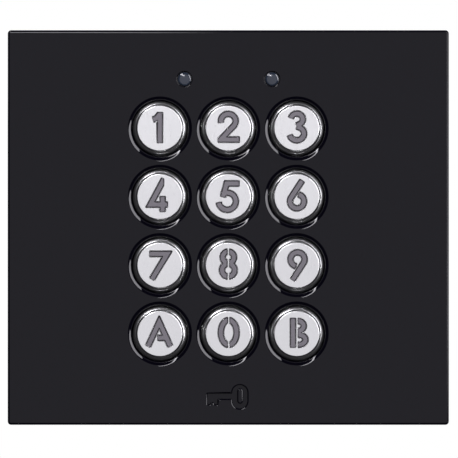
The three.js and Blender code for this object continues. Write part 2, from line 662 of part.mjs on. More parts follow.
const wallSeal = () =>
  ring(
    INSIDE_WIDTH - 2 * SLIDE_GAP, INSIDE_HEIGHT - 2 * SLIDE_GAP, 2, SEAL_WIDTH, 0, Z_BACK - SEAT_GAP,
  );

function fixingSlot(x, y, turn) {
  const [width, height] = turn
    ? [FIXING_SLOT.width, FIXING_SLOT.length]
    : [FIXING_SLOT.length, FIXING_SLOT.width];
  return raised(plate(width, height, FIXING_SLOT.width / 2 - 0.01, x, y), -1, BRACKET_STEEL + 1);
}

function wallBracket() {
  const top = BRACKET_HEIGHT / 2;
  const hookTop = Z_BACK_INSIDE + BRACKET_GAP + BRACKET_STEEL;
  const sheet = raised(plate(BRACKET_WIDTH, BRACKET_HEIGHT, BRACKET_CORNER), 0, BRACKET_STEEL);
  const folds = [
    ...[-HOOK_X, HOOK_X].flatMap((x) => [
      block(HOOK_WIDTH, BRACKET_STEEL, 0, hookTop, x, top - BRACKET_STEEL / 2),
      block(
        HOOK_WIDTH, HOOK_REACH, hookTop - BRACKET_STEEL, hookTop, x, top - 0.1 + HOOK_REACH / 2,
      ),
    ]),
    block(FLANGE_WIDTH, BRACKET_STEEL, 0, LOCK_HEIGHT + 3.6, 0, LOCK_FLANGE_Y + BRACKET_STEEL / 2),
  ];
  const holes = [
    raised(windowShape(0), -1, BRACKET_STEEL + 1),
    fixingSlot(-FIXING_SPACING / 2, 0, false),
    fixingSlot(FIXING_SPACING / 2, 0, false),
    fixingSlot(0, -FIXING_SPACING / 2, true),
    fixingSlot(0, (WINDOW.top + top) / 2, false),
    crossRod(LOCK_SCREW.radius + PILOT, LOCK_FLANGE_Y - 1, LOCK_FLANGE_Y + BRACKET_STEEL + 1, LOCK_HEIGHT),
  ];
  return cutBy(joined([sheet, ...folds]), holes);
}

// A six-sided recess for a key driver, cut upwards from a head's face.
const hexSocket = (across, depth, base) => rod(across / 2, base - 1, base + depth, 0, 0, 6);

// A pan-head screw standing on its head, from its head's face up to its tip.
function screw(spec, low, tip) {
  const neck = low + spec.headDepth;
  const body = turned(
    [
      [0, low],
      [spec.head - 0.4, low],
      [spec.head, low + 0.4],
      [spec.head, neck],
      [spec.radius, neck],
      [spec.radius, tip - 0.5],
      [spec.radius - 0.5, tip],
      [0, tip],
    ],
    10,
  );
  return body.subtract(hexSocket(spec.head, spec.headDepth * 0.6, low));
}

const coverScrew = ([x, y]) => screw(COVER_SCREW, Z_BACK, Z_FACE_BACK - 1.5).translate([x, y, 0]);

// A board screw goes in from the back of the board, into the cover's boss.
function boardScrew([x, y]) {
  const seat = Z_BOARD_BACK - SEAT_GAP - BOARD_SCREW.headDepth;
  return screw(BOARD_SCREW, seat, seat + BOARD_SCREW.headDepth + BOARD_SCREW.length).translate([x, y, 0]);
}

// The lock screw lies along Y, head down, and ends in the bracket's flange.
function lockScrew() {
  const head = -HOUSING_HEIGHT / 2 + LOCK_SCREW.headDepth - SEAT_GAP;
  const length = LOCK_FLANGE_Y + BRACKET_STEEL + 1.5 - (head - LOCK_SCREW.headDepth);
  return screw(LOCK_SCREW, 0, length)
    .rotate([-90, 0, 0])
    .translate([0, head - LOCK_SCREW.headDepth, LOCK_HEIGHT]);
}

// ---- materials -----------------------------------------------------------------------------------

const finish = (color, roughness, metalness = 0) =>
  new THREE.MeshStandardMaterial({ color, roughness, metalness });

const glossBlack = finish(0x16161a, 0.12);
const mattBlack = finish(0x1b1b1d, 0.6);
const satinMetal = finish(0xd9d9dc, 0.3, 1);
const greyGuide = finish(0x67666c, 0.5);
const greySilicone = finish(0x9a9b98, 0.75);
const smokeLens = finish(0x5c6470, 0.15);
const boardGreen = finish(0x1d5a36, 0.45);
const copperWire = finish(0xb8703a, 0.35, 1);
const chipBlack = finish(0x202022, 0.5);
const relayBlue = finish(0x2b4a7d, 0.45);
const terminalGreen = finish(0x2f7d4a, 0.5);
const brightZinc = finish(0xc6c8c9, 0.3, 1);
const blackScrew = finish(0x2a2a2c, 0.35, 1);
const blackFoam = finish(0x232323, 0.9);
const ledWhite = finish(0xf1efe2, 0.4);

// ---- assembly --------------------------------------------------------------------------------------

const lyingDown = new THREE.Group();

function place(name, solid, material) {
  const mesh = new THREE.Mesh(geometryOf(solid), material);
  mesh.name = name;
  lyingDown.add(mesh);
}

place("front_cover", frontCover(), glossBlack);
for (const key of KEYS) {
  place(`key_cap_${key.name}`, keyCap(key), satinMetal);
  place(`key_insert_${key.name}`, keyInsert(key), greyGuide);
}
place("keypad_mat", keypadMat(), greySilicone);
["left", "right"].forEach((side, i) => {
  place(`status_lens_${side}`, statusLens(lensPlaces[i]), smokeLens);
  place(`status_led_${side}`, statusLed(lensPlaces[i]), ledWhite);
});
place("main_board", mainBoard(), boardGreen);
place("reader_coil", readerCoil(), copperWire);
place("controller_chip", controllerChip(), chipBlack);
place("relay", relay(), relayBlue);
place("sounder", sounder(), chipBlack);
place("filter_capacitor", filterCapacitor(), chipBlack);
place("terminal_block", terminalBlock(), terminalGreen);
terminalWays.forEach((x, i) => place(`terminal_screw_${i + 1}`, terminalScrew(x), brightZinc));
place("tamper_switch", tamperSwitch(), chipBlack);
place("tamper_plunger", tamperPlunger(), ledWhite);
place("reset_switch", resetSwitch(), chipBlack);
place("reset_button", resetButton(), ledWhite);
place("cover_seal", coverSeal(), greySilicone);
place("rear_housing", rearHousing(), mattBlack);
place("wall_seal", wallSeal(), blackFoam);
place("wall_bracket", wallBracket(), brightZinc);
const corners = ["top_left", "top_right", "bottom_left", "bottom_right"];
corners.forEach((corner, i) => {
  place(`cover_screw_${corner}`, coverScrew(postPlaces[i]), blackScrew);
  place(`board_screw_${corner}`, boardScrew(boardScrewPlaces[i]), brightZinc);
});
place("lock_screw", lockScrew(), blackScrew);

// Stood up: the face looks along -Y, and what was Y is now up.
lyingDown.rotation.x = Math.PI / 2;
const keypad = new THREE.Group();
keypad.add(lyingDown);

export default keypad;
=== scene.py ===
"""Keypad access reader: a gloss black wall cover with twelve metal keys, built round its CAD model."""

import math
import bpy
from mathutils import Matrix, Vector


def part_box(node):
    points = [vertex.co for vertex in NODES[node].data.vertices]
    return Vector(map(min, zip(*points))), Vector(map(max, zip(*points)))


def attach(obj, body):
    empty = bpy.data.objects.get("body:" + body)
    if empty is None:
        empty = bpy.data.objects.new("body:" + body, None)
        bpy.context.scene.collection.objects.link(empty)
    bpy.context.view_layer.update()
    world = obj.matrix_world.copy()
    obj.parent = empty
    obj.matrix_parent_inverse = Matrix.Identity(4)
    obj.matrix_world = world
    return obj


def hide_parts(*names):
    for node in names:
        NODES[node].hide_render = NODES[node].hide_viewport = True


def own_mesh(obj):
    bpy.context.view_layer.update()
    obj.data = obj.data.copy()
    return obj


bl_info = {
    "name": "Keypad access reader",
    "version": (1, 0, 0),
    "blender": (4, 5, 0),
    "location": "3D View > Sidebar > Reader",
    "description": "Builds a wall keypad with metal keys round its CAD frame",
    "category": "Object",
}

from collections import namedtuple

import bmesh
import bpy
from bpy.props import FloatProperty, FloatVectorProperty, IntProperty, PointerProperty
from mathutils import Matrix, Quaternion, Vector
from mathutils.geometry import delaunay_2d_cdt, tessellate_polygon

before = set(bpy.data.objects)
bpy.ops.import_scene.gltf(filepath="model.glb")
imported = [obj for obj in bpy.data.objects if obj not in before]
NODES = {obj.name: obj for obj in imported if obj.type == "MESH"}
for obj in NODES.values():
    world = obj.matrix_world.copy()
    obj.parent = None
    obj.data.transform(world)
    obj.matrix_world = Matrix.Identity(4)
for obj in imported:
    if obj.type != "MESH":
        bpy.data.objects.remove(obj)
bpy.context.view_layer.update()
MM = 0.001
LEVEL = 0.99999  # how square to the wall a face's direction is, when the face counts as level
KEYS = ("1", "2", "3", "4", "5", "6", "7", "8", "9", "a", "0", "b")
CORNERS = ("top_left", "top_right", "bottom_left", "bottom_right")
SIDES = ("left", "right")

# A part's box on the plan in millimetres: x to the right, y up the face, and height above the wall.
Span = namedtuple("Span", "left right bottom top wall front")


def span(node):
    """A CAD part's box on the plan."""
    low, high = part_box(node)
    return Span(*(round(v / MM, 4) for v in (low.x, high.x, low.z, high.z, -high.y, -low.y)))


def middle(node):
    """The middle of a CAD part on the plan."""
    box = span(node)
    return (box.left + box.right) / 2, (box.bottom + box.top) / 2


COVER = span("front_cover")
FACE = COVER.front
FACE_BACK = FACE - 3.2  # the inside of the cover's face
KEY_FACE = span("key_cap_5").front
HOUSING = span("rear_housing")
BRACKET = span("wall_bracket")
BOARD = span("main_board")
KEY_RADIUS = 7.9
WELL_RADIUS = 8.2
HOOK_PLACES = (-30.0, 30.0)  # where the bracket's two hooks stand across the reader
WALL_UP = Matrix(((1, 0, 0, 0), (0, 0, -1, 0), (0, 1, 0, 0), (0, 0, 0, 1)))


# ---- mesh tools -----------------------------------------------------------------------------


class Shape:
    """A mesh in the making: points on the plan in millimetres, and faces with a finish number."""

    def __init__(self):
        self.points, self.faces, self.finishes = [], [], []

    def ring(self, outline, height):
        """Adds a closed line of points at one height."""
        first = len(self.points)
        self.points += [(x, y, height) for x, y in outline]
        return list(range(first, len(self.points)))

    def face(self, corners, finish=0):
        self.faces.append(tuple(corners))
        self.finishes.append(finish)

    def wall(self, one, other, finish=0):
        """Joins two rings that have the same number of points."""
        for i in range(len(one)):
            j = (i + 1) % len(one)
            self.face((one[i], one[j], other[j], other[i]), finish)

    def walls(self, rings, finish=0):
        for one, other in zip(rings, rings[1:]):
            self.wall(one, other, finish)

    def sleeve(self, levels, finish=0):
        """Adds walls through (outline, height) levels. Gives the first and the last ring."""
        rings = [self.ring(outline, height) for outline, height in levels]
        self.walls(rings, finish)
        return rings[0], rings[-1]

    def flat(self, outer, holes=(), finish=0):
        """Fills the flat area inside a ring and outside the holes."""
        rings = [outer, *holes]
        numbers = [i for ring in rings for i in ring]
        for corners in tessellate_polygon([[Vector(self.points[i]) for i in r] for r in rings]):
            self.face([numbers[i] for i in corners], finish)

    def turned(self, profile, x=0.0, y=0.0, sides=64, finish=0):
        """Turns a line of (radius, height[, finish]) round an upright axis, closing it on the axis."""
        rings = []
        for radius, height, *own in profile:
            outline = circle(radius, x, y, sides) if radius > 0 else [(x, y)]
            rings.append((self.ring(outline, height), own[0] if own else finish))
        for (one, number), (other, _) in zip(rings, rings[1:]):
            if len(one) == len(other):
                if len(one) > 1:
                    self.wall(one, other, number)
            else:
                pole, edge = (one, other) if len(one) == 1 else (other, one)
                for i in range(sides):
                    self.face((pole[0], edge[i], edge[(i + 1) % sides]), number)

    def add(self, other, place=Matrix.Identity(4)):
        """Adds a copy of another shape, moved."""
        first = len(self.points)
        self.points += [tuple(place @ Vector(p)) for p in other.points]
        self.faces += [tuple(i + first for i in f) for f in other.faces]
        self.finishes += other.finishes


def circle(radius, x=0.0, y=0.0, sides=64):
    turn = 2 * math.pi / sides
    return [(x + radius * math.cos(i * turn), y + radius * math.sin(i * turn)) for i in range(sides)]


def rounded(left, right, bottom, top, corner, steps=6):
    """A rectangle with round corners, anticlockwise from the lower right."""
    corner = max(corner, 0.02)
    centres = (
        (right - corner, bottom + corner, -90), (right - corner, top - corner, 0),
        (left + corner, top - corner, 90), (left + corner, bottom + corner, 180),
    )
    return [
        (x + corner * math.cos(math.radians(a)), y + corner * math.sin(math.radians(a)))
        for x, y, start in centres
        for a in (start + 90 * i / steps for i in range(steps + 1))
    ]


def inset(box, amount, corner, steps=6):
    """The rounded outline of a box, moved inwards."""
    return rounded(
        box.left + amount, box.right - amount, box.bottom + amount, box.top - amount, corner, steps
    )


def rolled(width, start=0.0, end=90.0, steps=8):
    """(across, down) pairs of a rounding that leaves a flat face at one slope and turns down."""
    angles = [math.radians(start + (end - start) * i / steps) for i in range(steps + 1)]
    first, last = angles[0], angles[-1]
    bend = width / (math.sin(last) - math.sin(first))
    return [(bend * (math.sin(a) - math.sin(first)), bend * (math.cos(first) - math.cos(a))) for a in angles]


def well_edge(width):
    """(across, down) pairs of a well's soft edge: it eases in, slopes gently and then drops."""
    pairs, shares = [], ((0.43, 0.0, 21.0, 7), (0.38, 21.0, 27.5, 6), (0.19, 27.5, 90.0, 9))
    for share, start, end, steps in shares:
        across, down = pairs.pop() if pairs else (0.0, 0.0)
        pairs += [(across + a, down + d) for a, d in rolled(width * share, start, end, steps)]
    return pairs


def area(outline):
    return sum(a[0] * b[1] - b[0] * a[1] for a, b in zip(outline, outline[1:] + outline[:1])) / 2


def grown(outline, distance):
    """A closed outline with each point moved to the right of its direction, with mitred corners."""
    count = len(outline)
    moved = []
    for i, point in enumerate(outline):
        here = Vector(point)
        before = (here - Vector(outline[i - 1])).normalized()
        after = (Vector(outline[(i + 1) % count]) - here).normalized()
        one, two = Vector((before.y, -before.x)), Vector((after.y, -after.x))
        mitre = (one + two).normalized()
        moved.append(tuple(here + mitre * distance / max(mitre.dot(one), 0.35)))
    return moved


def eased(outline, radius, steps=4, sharp=28.0):
    """A closed outline with its sharp corners rounded."""
    count, result = len(outline), []
    for i, point in enumerate(outline):
        here = Vector(point)
        back, ahead = Vector(outline[i - 1]) - here, Vector(outline[(i + 1) % count]) - here
        turn = math.pi - back.angle(ahead, math.pi)
        if turn < math.radians(sharp):
            result.append(tuple(here))
            continue
        reach = min(radius * math.tan(turn / 2), 0.45 * back.length, 0.45 * ahead.length)
        a, b = here + back.normalized() * reach, here + ahead.normalized() * reach
        for k in range(steps + 1):
            t = k / steps
            result.append(tuple(a * (1 - t) ** 2 + here * 2 * t * (1 - t) + b * t**2))
    return result


def merged(parts, cuts=(), shortest=0.05):
    """The outlines of overlapping areas joined together, less the cuts: solid ones anticlockwise."""
    points, faces = [], []
    for part in [*parts, *cuts]:
        outline = part if area(part) > 0 else part[::-1]
        faces.append(list(range(len(points), len(points) + len(outline))))
        points += [Vector(p) for p in outline]
    found, _, triangles, _, _, inside = delaunay_2d_cdt(points, [], faces, 1, 1e-5, True)
    ahead = {}
    for corners, owners in zip(triangles, inside):
        if owners and max(owners) < len(parts):
            for a, b in zip(corners, [*corners[1:], corners[0]]):
                ahead[a, b] = True
    edges = {}
    for a, b in ahead:
        if (b, a) not in ahead:
            edges.setdefault(a, []).append(b)
    outlines = []
    while edges:
        start = min(edges)
        line, here = [], start
        while here in edges:
            line.append(here)
            following = edges[here].pop()
            if not edges[here]:
                del edges[here]
            here = following
        outlines.append(cleaned([tuple(found[i]) for i in line], shortest))
    return sorted(outlines, key=lambda o: -abs(area(o)))


def cleaned(outline, shortest):
    """A closed outline without its very short sides and its points on straight lines."""
    kept = []
    for point in outline:
        if not kept or (Vector(point) - Vector(kept[-1])).length > shortest:
            kept.append(point)
    while len(kept) > 3 and (Vector(kept[0]) - Vector(kept[-1])).length <= shortest:
        kept.pop()
    bends = []
    for i, point in enumerate(kept):
        back = Vector(point) - Vector(kept[i - 1])
        ahead = Vector(kept[(i + 1) % len(kept)]) - Vector(point)
        if abs(back.angle(ahead, 0)) > math.radians(1.5):
            bends.append(point)
    return bends


def plan_mesh(name, shape):
    """A shape's mesh, turned up from the plan to its place against the wall."""
    mesh = bpy.data.meshes.new(name)
    mesh.from_pydata([Vector(p) * MM for p in shape.points], [], shape.faces)
    mesh.transform(WALL_UP)
    mesh.polygons.foreach_set("material_index", shape.finishes)
    return mesh


def piece(name, shape, looks, replaces=(), body="base", crease=32.0):
    """Turns a shape into an object in the model's own frame, and gives it to its CAD body."""
    return settled(name, plan_mesh(name, shape), looks, replaces, body, crease)


def settled(name, mesh, looks, replaces=(), body="base", crease=32.0, joined=2e-6):
    """Closes and smooths a mesh, gives it its finishes and body, and links it as one piece.

    The looks are names of finishes, given to the mesh in this order.
    """
    work = bmesh.new()
    work.from_mesh(mesh)
    bmesh.ops.remove_doubles(work, verts=work.verts, dist=joined)
    bmesh.ops.dissolve_degenerate(work, edges=work.edges, dist=1e-7)
    bmesh.ops.recalc_face_normals(work, faces=work.faces)
    work.to_mesh(mesh)
    work.free()
    mesh.materials.clear()
    for look in looks:
        mesh.materials.append(finishes[look])
    mesh.shade_smooth()
    mesh.set_sharp_from_angle(angle=math.radians(crease))
    for polygon in mesh.polygons:  # a face that is level with the wall keeps its own shading
        polygon.use_smooth = abs(polygon.normal.y) < LEVEL
    made = bpy.data.objects.new(name, mesh)
    bpy.context.scene.collection.objects.link(made)
    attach(made, body)
    if replaces:
        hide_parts(*replaces)
    return made


def baked(holder):
    """The plain mesh of an object with its modifiers applied. The object is removed."""
    bpy.context.view_layer.update()
    ready = holder.evaluated_get(bpy.context.evaluated_depsgraph_get())
    mesh = bpy.data.meshes.new_from_object(ready)
    holder.modifiers.clear()
    bpy.data.objects.remove(holder)
    return mesh


def softened(node, name, look, width):
    """A CAD part's shape with its edges rounded, in its place."""
    mesh = NODES[node].data.copy()
    work = bmesh.new()
    work.from_mesh(mesh)
    bmesh.ops.remove_doubles(work, verts=work.verts, dist=1e-6)
    flat = math.radians(1)
    bmesh.ops.dissolve_limit(work, angle_limit=flat, verts=work.verts, edges=work.edges)
    work.to_mesh(mesh)
    work.free()
    holder = bpy.data.objects.new(name + "_work", mesh)
    bpy.context.scene.collection.objects.link(holder)
    edge = holder.modifiers.new("Edge", "BEVEL")
    edge.width, edge.segments, edge.limit_method = width * MM, 3, "ANGLE"
    edge.angle_limit, edge.use_clamp_overlap = math.radians(35), True
    settled(name, baked(holder), [look], [node], crease=40.0, joined=1e-7)


# ---- geometry nodes ----------------------------------------------------------------------------


class Tree:
    """A Geometry Nodes tree with named inputs, which ends in Realize Instances and Set Material."""

    def __init__(self, name, **inputs):
        self.tree = bpy.data.node_groups.new(name, "GeometryNodeTree")
        kinds = {float: "NodeSocketFloat", int: "NodeSocketInt", tuple: "NodeSocketVector"}
        face = self.tree.interface
        face.new_socket("Places", in_out="INPUT", socket_type="NodeSocketGeometry")
        for label, value in inputs.items():
            made = face.new_socket(label, in_out="INPUT", socket_type=kinds[type(value)])
            made.default_value = value
        face.new_socket("Finish", in_out="INPUT", socket_type="NodeSocketMaterial")
        face.new_socket("Result", in_out="OUTPUT", socket_type="NodeSocketGeometry")
        self.given = self.tree.nodes.new("NodeGroupInput").outputs
        self.inputs = inputs

    def __getitem__(self, label):
        return self.given[label]

    def add(self, kind, sockets, out=0, **settings):
        """Adds a node, with values or other nodes' outputs on its sockets, and gives one output."""
        node = self.tree.nodes.new(kind)
        for key, value in settings.items():
            setattr(node, key, value)
        for key, value in sockets.items():
            for one in value if isinstance(value, list) else [value]:
                if isinstance(one, bpy.types.NodeSocket):
                    self.tree.links.new(one, node.inputs[key])
                else:
                    node.inputs[key].default_value = one
        return node.outputs[out]

    def math(self, operation, *values):
        return self.add("ShaderNodeMath", dict(enumerate(values)), operation=operation)

    def end(self, geometry):
        real = self.add("GeometryNodeRealizeInstances", {"Geometry": geometry})
        done = self.add("GeometryNodeSetMaterial", {"Geometry": real, "Material": self["Finish"]})
        self.tree.links.new(done, self.tree.nodes.new("NodeGroupOutput").inputs[0])
        return self

    def mesh(self, look, places=((0, 0, 0),), **values):
        """The tree's result as a plain mesh, with its points of instance on the plan in mm."""
        base = bpy.data.meshes.new("places")
        base.from_pydata([WALL_UP @ Vector(p) * MM for p in places], [], [])
        holder = bpy.data.objects.new("places", base)
        bpy.context.scene.collection.objects.link(holder)
        change = holder.modifiers.new("Grow", "NODES")
        change.node_group = self.tree
        values = {**self.inputs, **values, "Finish": finishes[look]}
        for item in self.tree.interface.items_tree:
            if item.in_out == "INPUT" and item.name in values:
                change[item.identifier] = values[item.name]
        return baked(holder)


def screw_tree():
    """A screw with a six-sided driver recess and a helical thread, its head's face on each place."""
    t = Tree(
        "socket_screw", head=2.8 * MM, rise=1.8 * MM, shank=1.5 * MM, length=20 * MM,
        driver=1.5 * MM, recess=1.0 * MM, chamfer=0.35 * MM, pitch=1.0 * MM, thread=0.22 * MM,
        turn=(0.0, 0.0, 0.0), rings=64,
    )
    rim = t.add("GeometryNodeCurvePrimitiveCircle", {"Resolution": 40, "Radius": t["head"]})
    hex_ = t.add("GeometryNodeCurvePrimitiveCircle", {"Resolution": 6, "Radius": t["driver"]})
    both = t.add("GeometryNodeJoinGeometry", {0: [rim, hex_]})
    face = t.add("GeometryNodeFillCurve", {"Curve": both})
    under = t.add("GeometryNodeFlipFaces", {"Mesh": face})
    straight = t.math("SUBTRACT", t["recess"], t["chamfer"])
    first = t.tree.nodes.new("GeometryNodeExtrudeMesh")
    t.tree.links.new(face, first.inputs["Mesh"])
    t.tree.links.new(straight, first.inputs["Offset Scale"])
    first.inputs["Individual"].default_value = False
    second = t.tree.nodes.new("GeometryNodeExtrudeMesh")
    t.tree.links.new(first.outputs["Mesh"], second.inputs["Mesh"])
    t.tree.links.new(first.outputs["Top"], second.inputs["Selection"])
    t.tree.links.new(t["chamfer"], second.inputs["Offset Scale"])
    second.inputs["Individual"].default_value = False
    share = t.math("DIVIDE", t.math("SUBTRACT", t["head"], t["chamfer"]), t["head"])
    top = t.add(
        "GeometryNodeScaleElements",
        {"Geometry": second.outputs["Mesh"], "Selection": second.outputs["Top"], "Scale": share},
    )
    closed = t.add("GeometryNodeJoinGeometry", {0: [top, under]})
    closed = t.add("GeometryNodeMergeByDistance", {"Geometry": closed, "Distance": 1e-6})
    drop = t.math("MULTIPLY", t["recess"], -1.0)
    down = t.add("ShaderNodeCombineXYZ", {"Z": drop})
    ring = t.add("GeometryNodeTransform", {"Geometry": closed, "Translation": down})
    depth = t.math("SUBTRACT", t["rise"], t["recess"])
    base = t.add(
        "GeometryNodeMeshCylinder",
        {"Vertices": 40, "Radius": t.math("MULTIPLY", t["head"], 0.995), "Depth": depth},
    )
    low = t.math("MULTIPLY", t.math("ADD", t["rise"], t["recess"]), -0.5)
    base = t.add(
        "GeometryNodeTransform",
        {"Geometry": base, "Translation": t.add("ShaderNodeCombineXYZ", {"Z": low})},
    )
    reach = t.math("SUBTRACT", t["length"], t["rise"])
    rod = t.add(
        "GeometryNodeMeshCylinder",
        {"Vertices": 24, "Side Segments": t["rings"], "Radius": t["shank"], "Depth": reach},
    )
    at = t.add("GeometryNodeInputPosition", {})
    split = t.tree.nodes.new("ShaderNodeSeparateXYZ")
    t.tree.links.new(at, split.inputs[0])
    angle = t.math("ARCTAN2", split.outputs[1], split.outputs[0])
    phase = t.math(
        "SUBTRACT", t.math("DIVIDE", split.outputs[2], t["pitch"]),
        t.math("DIVIDE", angle, 2 * math.pi),
    )
    wave = t.math("MULTIPLY", t.math("PINGPONG", phase, 0.5), 2.0)
    cut = t.math("MULTIPLY", wave, t.math("DIVIDE", t["thread"], t["shank"]))
    keep = t.math("SUBTRACT", 1.0, cut)
    shaped = t.add(
        "ShaderNodeCombineXYZ",
        {"X": t.math("MULTIPLY", split.outputs[0], keep),
         "Y": t.math("MULTIPLY", split.outputs[1], keep), "Z": split.outputs[2]},
    )
    rod = t.add("GeometryNodeSetPosition", {"Geometry": rod, "Position": shaped})
    far = t.math("MULTIPLY", t.math("ADD", t["length"], t["rise"]), -0.5)
    rod = t.add(
        "GeometryNodeTransform",
        {"Geometry": rod, "Translation": t.add("ShaderNodeCombineXYZ", {"Z": far})},
    )
    whole = t.add("GeometryNodeJoinGeometry", {0: [ring, base, rod]})
    many = t.add(
        "GeometryNodeInstanceOnPoints",
        {"Points": t["Places"], "Instance": whole, "Rotation": t["turn"]},
    )
    return t.end(many)


def coil_tree():
    """Parallel turns of wire along a rectangle with round corners."""
    t = Tree(
        "wire_coil", width=85.0 * MM, height=93.4 * MM, corner=4.2 * MM, wire=0.19 * MM,
        across=1.2 * MM, deep=1.1 * MM, turns=4, layers=4, shift=(0.0, 0.0, 0.0),
    )
    path = t.add("GeometryNodeCurvePrimitiveQuadrilateral", {"Width": t["width"], "Height": t["height"]})
    path = t.add(
        "GeometryNodeFilletCurve",
        {"Curve": path, "Radius": t["corner"], "Count": 8}, mode="POLY",
    )
    strand = t.add("GeometryNodeCurvePrimitiveCircle", {"Resolution": 8, "Radius": t["wire"]})
    spots = t.add(
        "GeometryNodeMeshGrid",
        {"Size X": t["across"], "Size Y": t["deep"], "Vertices X": t["turns"], "Vertices Y": t["layers"]},
    )
    bundle = t.add("GeometryNodeInstanceOnPoints", {"Points": spots, "Instance": strand})
    bundle = t.add("GeometryNodeRealizeInstances", {"Geometry": bundle})
    wound = t.add("GeometryNodeCurveToMesh", {"Curve": path, "Profile Curve": bundle})
    placed = t.add(
        "GeometryNodeTransform",
        {"Geometry": wound, "Translation": t["shift"], "Rotation": (math.pi / 2, 0, 0)},
    )
    return t.end(placed)


def chip_part_tree():
    """Rows of small soldered parts. One run makes their bodies and another their metal ends."""
    t = Tree(
        "soldered_parts", length=2.0 * MM, width=1.2 * MM, height=0.5 * MM, gap=0.0,
        spread_x=20 * MM, spread_y=8 * MM, columns=6, rows=3, share=0.75, seed=4,
        shift=(0.0, 0.0, 0.0),
    )
    spots = t.add(
        "GeometryNodeMeshGrid",
        {"Size X": t["spread_x"], "Size Y": t["spread_y"], "Vertices X": t["columns"],
         "Vertices Y": t["rows"]},
    )
    pick = t.add(
        "FunctionNodeRandomValue", {"Probability": t["share"], "Seed": t["seed"]}, out=3,
        data_type="BOOLEAN",
    )
    size = t.add("ShaderNodeCombineXYZ", {"X": t["length"], "Y": t["width"], "Z": t["height"]})
    block = t.add("GeometryNodeMeshCube", {"Size": size, "Vertices X": 3, "Vertices Y": 3})
    out = t.add("ShaderNodeCombineXYZ", {"X": t["gap"]})
    back = t.add("ShaderNodeCombineXYZ", {"X": t.math("MULTIPLY", t["gap"], -1.0)})
    pair = t.add(
        "GeometryNodeJoinGeometry",
        {0: [t.add("GeometryNodeTransform", {"Geometry": block, "Translation": out}),
             t.add("GeometryNodeTransform", {"Geometry": block, "Translation": back})]},
    )
    both = t.add("GeometryNodeSwitch", {
        "Switch": t.add(
            "FunctionNodeCompare", {"A": t["gap"], "B": 0.0}, data_type="FLOAT",
            operation="GREATER_THAN",
        ), "False": block, "True": pair,
    }, input_type="GEOMETRY")
    many = t.add(
        "GeometryNodeInstanceOnPoints", {"Points": spots, "Selection": pick, "Instance": both}
    )
    real = t.add("GeometryNodeRealizeInstances", {"Geometry": many})
    placed = t.add(
        "GeometryNodeTransform",
        {"Geometry": real, "Translation": t["shift"], "Rotation": (math.pi / 2, 0, 0)},
    )
    return t.end(placed)


def lead_tree():
    """Gull-wing leads on all four sides of a chip."""
    t = Tree(
        "chip_leads", side=10 * MM, leads=8, pitch=1.0 * MM, lead=0.4 * MM, reach=1.0 * MM,
        thick=0.18 * MM, shift=(0.0, 0.0, 0.0),
    )
    half = t.math("MULTIPLY", t["side"], 0.5)
    foot = t.add(
        "GeometryNodeMeshCube",
        {"Size": t.add("ShaderNodeCombineXYZ", {"X": t["lead"], "Y": t["reach"], "Z": t["thick"]})},
    )
    foot = t.add(
        "GeometryNodeTransform",
        {"Geometry": foot, "Translation": t.add("ShaderNodeCombineXYZ", {
            "Y": t.math("ADD", half, t.math("MULTIPLY", t["reach"], 0.5))})},
    )
    knee = t.add(
        "GeometryNodeMeshCube",
        {"Size": t.add("ShaderNodeCombineXYZ", {
            "X": t["lead"], "Y": t["thick"], "Z": t.math("MULTIPLY", t["thick"], 4.0)})},
    )
    knee = t.add(
        "GeometryNodeTransform",
        {"Geometry": knee, "Translation": t.add("ShaderNodeCombineXYZ", {
            "Y": t.math("ADD", half, t.math("MULTIPLY", t["thick"], 0.5)),
            "Z": t.math("MULTIPLY", t["thick"], 1.5)})},
    )
    lead = t.add("GeometryNodeJoinGeometry", {0: [foot, knee]})
    start = t.math(
        "MULTIPLY", t.math("MULTIPLY", t["pitch"], t.math("SUBTRACT", t["leads"], 1.0)), -0.5
    )
    row = t.add(
        "GeometryNodeMeshLine",
        {"Count": t["leads"], "Start Location": t.add("ShaderNodeCombineXYZ", {"X": start}),
         "Offset": t.add("ShaderNodeCombineXYZ", {"X": t["pitch"]})},
    )
    row = t.add("GeometryNodeInstanceOnPoints", {"Points": row, "Instance": lead})
    sides = [
        t.add("GeometryNodeTransform", {"Geometry": row, "Rotation": (0, 0, quarter * math.pi / 2)})
        for quarter in range(4)
    ]
    all_ = t.add("GeometryNodeJoinGeometry", {0: sides})
    placed = t.add(
        "GeometryNodeTransform",
        {"Geometry": all_, "Translation": t["shift"], "Rotation": (-math.pi / 2, 0, 0)},
    )
    return t.end(placed)


# ---- finishes --------------------------------------------------------------------------------


